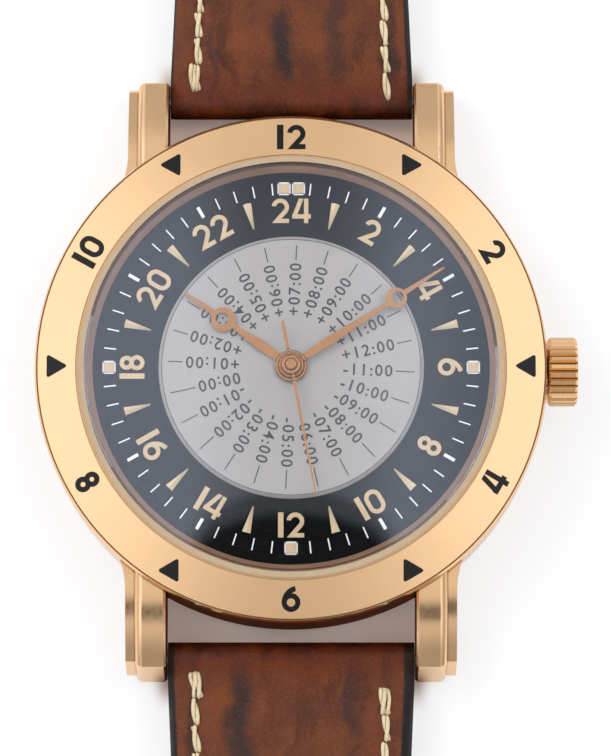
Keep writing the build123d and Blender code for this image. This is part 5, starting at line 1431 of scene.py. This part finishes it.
def keeper_mesh(name, node):
    """A leather loop: a rounded band with a crowned face, closed round the strap."""
    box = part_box(node)
    begin, end = box[0].y / MM, box[1].y / MM
    right = box[1].x / MM - KEEPER_CORNER
    low, high = box[0].z / MM + KEEPER_CORNER, box[1].z / MM - KEEPER_CORNER
    path = []
    for turn, (cx, cz) in enumerate(((right, high), (-right, high), (-right, low), (right, low))):
        for step in range(KEEPER_SIDES + 1):
            angle = math.pi / 2 * (turn + step / KEEPER_SIDES)
            path.append((cx, cz, math.cos(angle), math.sin(angle)))
    long = end - begin
    section = []
    for step in range(KEEPER_STEPS + 1):
        share = step / KEEPER_STEPS
        bow = 1 - (2 * share - 1) ** 4
        section.append((begin + long * share, KEEPER_BOW * (bow - 1)))
    section.append((end, -KEEPER_SKIN / 2 - 0.1))
    section += [(begin + long * (0.97 - 0.94 * s / 4), -KEEPER_SKIN) for s in range(5)]
    section.append((begin, -KEEPER_SKIN / 2 - 0.1))
    bm = bmesh.new()
    rings = []
    for cx, cz, nx, nz in path:
        ring = []
        for y, out in section:
            reach = KEEPER_CORNER + out
            ring.append(bm.verts.new((cx + nx * reach, y, cz + nz * reach)))
        rings.append(ring)
    for first, second in zip(rings, rings[1:] + rings[:1]):
        for k, face in enumerate(bridge(bm, first, second)):
            face.material_index = 0 if k < KEEPER_STEPS else 1
    return mesh_of(name, bm)


class WATCH_OT_keepers(bpy.types.Operator):
    """Make the fixed and the free leather keeper"""

    bl_idname = "watch.keepers"
    bl_label = "Keepers"

    def execute(self, context):
        for name, node, body in (
            ("fixed_loop", "fixed_keeper", "strap_buckle_half"),
            ("free_loop", "free_keeper", "free_keeper"),
        ):
            mesh = keeper_mesh(name, node)
            soften(mesh, 50)
            piece = new_piece(
                name, mesh, body, "keeper_leather",
                made(strap_leather, "keeper_loop_leather", top_streaks[-2:], KEEPER_PAINT),
                made(painted_edge),
            )
            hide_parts(node)
        return {"FINISHED"}


class WATCH_OT_buckle(bpy.types.Operator):
    """Finish the buckle, its bar and its tongue"""

    bl_idname = "watch.buckle"
    bl_label = "Buckle"

    def execute(self, context):
        dress(polished_rose_gold, "buckle_frame", "buckle_bar", "buckle_tongue")
        return {"FINISHED"}


# Stage

CAMERA_TARGET = Vector((1.09, -0.97, 8.0))
CAMERA_TILT = 9.3
CAMERA_FAR = 320.0
CAMERA_LENS = 200.7
FLOOR_HALF = 700.0

# Shares of the floor's own light: in the open, under the watch, and where metal mirrors it
FLOOR_SHARE = 0.68
GAP_SHARE = 0.12
MIRRORED_SHARE = 0.5

# Where the floor's shade under the watch begins and is full, across and along it, in mm
SHADE_ENDS = ((11.0, 9.6), (26.0, 23.6))

# The tent's dark opening: how far it lies to the south, and its half sizes
OPENING_SOUTH = 0.23
OPENING_HALF = (0.22, 0.105)

LAMP_WIDE = 260
LAMPS = (("lamp_left", (-320, 180, 420), 1.1), ("lamp_right", (340, 120, 380), 0.8))


def seamless_paper():
    """Paper, coated matt: white, and lit from below so that its shadows stay soft, apart from the
    painted shade between the case and the strap, which carries a painted warm tint for the gold's
    bounce light and shows metal a painted dark brown reflection."""
    material, tree = start("seamless_paper")
    place = add(tree, "ShaderNodeTexCoord").outputs["Object"]
    fibre = add(tree, "ShaderNodeTexNoise", {"Vector": place, "Scale": per(0.8), "Detail": 4.0})
    relief = add(
        tree, "ShaderNodeBump", {"Height": fibre, "Strength": 0.2, "Distance": 0.02 * MM},
    )
    # Painted shade: how far a point lies under the watch, between the case and the strap
    under = 1.0
    spots = add(tree, "ShaderNodeSeparateXYZ", (place,)).outputs
    for spot, (begin, full) in zip(spots, SHADE_ENDS):
        away = add(tree, "ShaderNodeMath", (spot,), operation="ABSOLUTE")
        share = add(tree, "ShaderNodeMapRange", span(away, begin * MM, full * MM), **SOFT)
        under = add(tree, "ShaderNodeMath", (under, share), operation="MULTIPLY")
    path = add(tree, "ShaderNodeLightPath").outputs
    shade = add(tree, "ShaderNodeMath", (path["Is Glossy Ray"], under), operation="MULTIPLY")
    # Painted shade under the watch: a warm pink for the gold's bounce light, and a dark brown where
    # metal mirrors the floor
    paper_tone_with_painted_shade = linear("F4F4F3")
    for share, tone in ((under, linear("D9B7A4")), (shade, linear("5A2C16"))):
        paper_tone_with_painted_shade = add(tree, "ShaderNodeMix", {0: share, MIX_A: paper_tone_with_painted_shade, MIX_B: tone}, **COLOUR)
    paper = add(
        tree, "ShaderNodeBsdfPrincipled", {"Base Color": paper_tone_with_painted_shade, "Roughness": 0.8, "Normal": relief},
    )
    glow = add(tree, "ShaderNodeEmission", {"Color": (1.0, 1.0, 1.0, 1.0), "Strength": 1.0})
    shaded = add(tree, "ShaderNodeMath", (under, MIRRORED_SHARE), operation="MULTIPLY")
    bright = add(tree, "ShaderNodeMath", (MIRRORED_SHARE, shaded), operation="SUBTRACT")
    seen = add(tree, "ShaderNodeMath", (path["Is Glossy Ray"], bright), operation="MULTIPLY")
    for ray in ("Is Camera Ray", "Is Transmission Ray"):
        seen = add(tree, "ShaderNodeMath", (seen, path[ray]), operation="MAXIMUM")
    lit = add(
        tree, "ShaderNodeMapRange", {"Value": under, "To Min": FLOOR_SHARE, "To Max": GAP_SHARE},
    )
    share = add(tree, "ShaderNodeMath", (seen, lit), operation="MULTIPLY")
    close(tree, add(tree, "ShaderNodeMixShader", (share, paper, glow)))
    return material


def light_tent():
    """A white light tent: bright sides, a dimmer far end and the dark opening that the camera looks
    through. The camera itself meets plain white."""
    world = bpy.data.worlds.new("light_tent")
    world.use_nodes = True
    tree = world.node_tree
    tree.nodes.clear()
    way = add(tree, "ShaderNodeTexCoord").outputs["Generated"]
    east, north = add(tree, "ShaderNodeSeparateXYZ", (way,)).outputs[:2]
    side = add(tree, "ShaderNodeMath", (east,), operation="ABSOLUTE")
    cooler = add(tree, "ShaderNodeMapRange", span(side, 0.05, 0.3), **SOFT)
    cool = add(
        tree, "ShaderNodeMix",
        {0: cooler, MIX_A: linear("FFFFFF"), MIX_B: (0.99, 1.0, 1.07, 1.0)}, **COLOUR,
    )
    across = add(tree, "ShaderNodeMath", (east, 1 / OPENING_HALF[0]), operation="MULTIPLY")
    lower = add(tree, "ShaderNodeMath", (north, OPENING_SOUTH), operation="ADD")
    down = add(tree, "ShaderNodeMath", (lower, 1 / OPENING_HALF[1]), operation="MULTIPLY")
    off = radius_of(tree, across, down)
    level = 1.0
    for fade in (
        span(side, 0.06, 0.24, 0.8, 1.5), span(side, 0.4, 0.85, 1.0, 0.55),
        span(east, 0.24, 0.42, 1.0, 0.7), span(north, 0.34, 0.62, 1.0, 0.72),
        span(north, -0.34, -0.7, 1.0, 0.5), span(off, 0.85, 1.15, 0.02, 1.0),
    ):
        share = add(tree, "ShaderNodeMapRange", fade, **SOFT)
        level = add(tree, "ShaderNodeMath", (level, share), operation="MULTIPLY")
    tent = add(tree, "ShaderNodeBackground", {"Color": cool, "Strength": level})
    plain = add(tree, "ShaderNodeBackground", {"Color": (1.0, 1.0, 1.0, 1.0), "Strength": 1.0})
    seen = add(tree, "ShaderNodeLightPath").outputs["Is Camera Ray"]
    mixed = add(tree, "ShaderNodeMixShader", (seen, tent, plain))
    add(tree, "ShaderNodeOutputWorld", {"Surface": mixed})
    return world


def soft_lamp(name, place, power):
    """A square soft lamp that points at the dial and isn't mirrored in the metal."""
    light = bpy.data.lights.new(name, "AREA")
    light.size = LAMP_WIDE * MM
    light.energy = power
    lamp = placed(name, light)
    lamp.location = Vector(place) * MM
    lamp.rotation_euler = (-lamp.location).to_track_quat("-Z", "Y").to_euler()
    lamp.visible_glossy = False
    lamp.visible_camera = False


class WATCH_OT_stage(bpy.types.Operator):
    """Lay out the paper floor, the light tent, the lamps and the camera"""

    bl_idname = "watch.stage"
    bl_label = "Stage"

    def execute(self, context):
        bm = bmesh.new()
        bmesh.ops.create_grid(bm, x_segments=1, y_segments=1, size=FLOOR_HALF)
        floor = placed("paper_floor", mesh_of("paper_floor", bm))
        floor.data.materials.append(seamless_paper())
        context.scene.world = light_tent()
        for lamp in LAMPS:
            soft_lamp(*lamp)
        camera = placed("camera", bpy.data.cameras.new("camera"))
        tilt = math.radians(CAMERA_TILT)
        back = Vector((0, -math.sin(tilt), math.cos(tilt))) * CAMERA_FAR
        camera.location = (CAMERA_TARGET + back) * MM
        camera.rotation_euler = (tilt, 0, 0)
        camera.data.lens = CAMERA_LENS
        camera.data.clip_start = 0.01
        context.scene.camera = camera
        context.scene.view_settings.view_transform = "Standard"
        return {"FINISHED"}


class WATCH_PT_panel(bpy.types.Panel):
    """The watch's pieces, colours and sizes"""

    bl_idname = "WATCH_PT_panel"
    bl_label = "World Time Watch"
    bl_space_type = "VIEW_3D"
    bl_region_type = "UI"
    bl_category = "Watch"

    def draw(self, context):
        layout = self.layout
        for operator in OPERATORS:
            layout.operator(operator.bl_idname)
        for settings in (context.scene.watch_colours, context.scene.watch_sizes):
            column = layout.column(align=True)
            for name in settings.__annotations__:
                column.prop(settings, name)


OPERATORS = (
    WATCH_OT_case, WATCH_OT_crystal, WATCH_OT_dial, WATCH_OT_minute_track, WATCH_OT_city_disc,
    WATCH_OT_hands, WATCH_OT_movement, WATCH_OT_straps, WATCH_OT_stitching, WATCH_OT_keepers,
    WATCH_OT_buckle, WATCH_OT_stage,
)
CLASSES = (WatchColours, WatchSizes, *OPERATORS, WATCH_PT_panel)


def register():
    """Registers the classes and their settings on the scene."""
    for kind in CLASSES:
        bpy.utils.register_class(kind)
    bpy.types.Scene.watch_colours = PointerProperty(type=WatchColours)
    bpy.types.Scene.watch_sizes = PointerProperty(type=WatchSizes)


def unregister():
    """Takes the settings and classes away again."""
    del bpy.types.Scene.watch_sizes
    del bpy.types.Scene.watch_colours
    for kind in reversed(CLASSES):
        bpy.utils.unregister_class(kind)


def main():
    """Builds and finishes every piece."""
    register()
    bpy.ops.watch.case()
    bpy.ops.watch.crystal()
    bpy.ops.watch.dial()
    bpy.ops.watch.minute_track()
    bpy.ops.watch.city_disc()
    bpy.ops.watch.hands()
    bpy.ops.watch.movement()
    bpy.ops.watch.straps()
    bpy.ops.watch.stitching()
    bpy.ops.watch.keepers()
    bpy.ops.watch.buckle()
    bpy.ops.watch.stage()


if __name__ == "__main__":
    main()
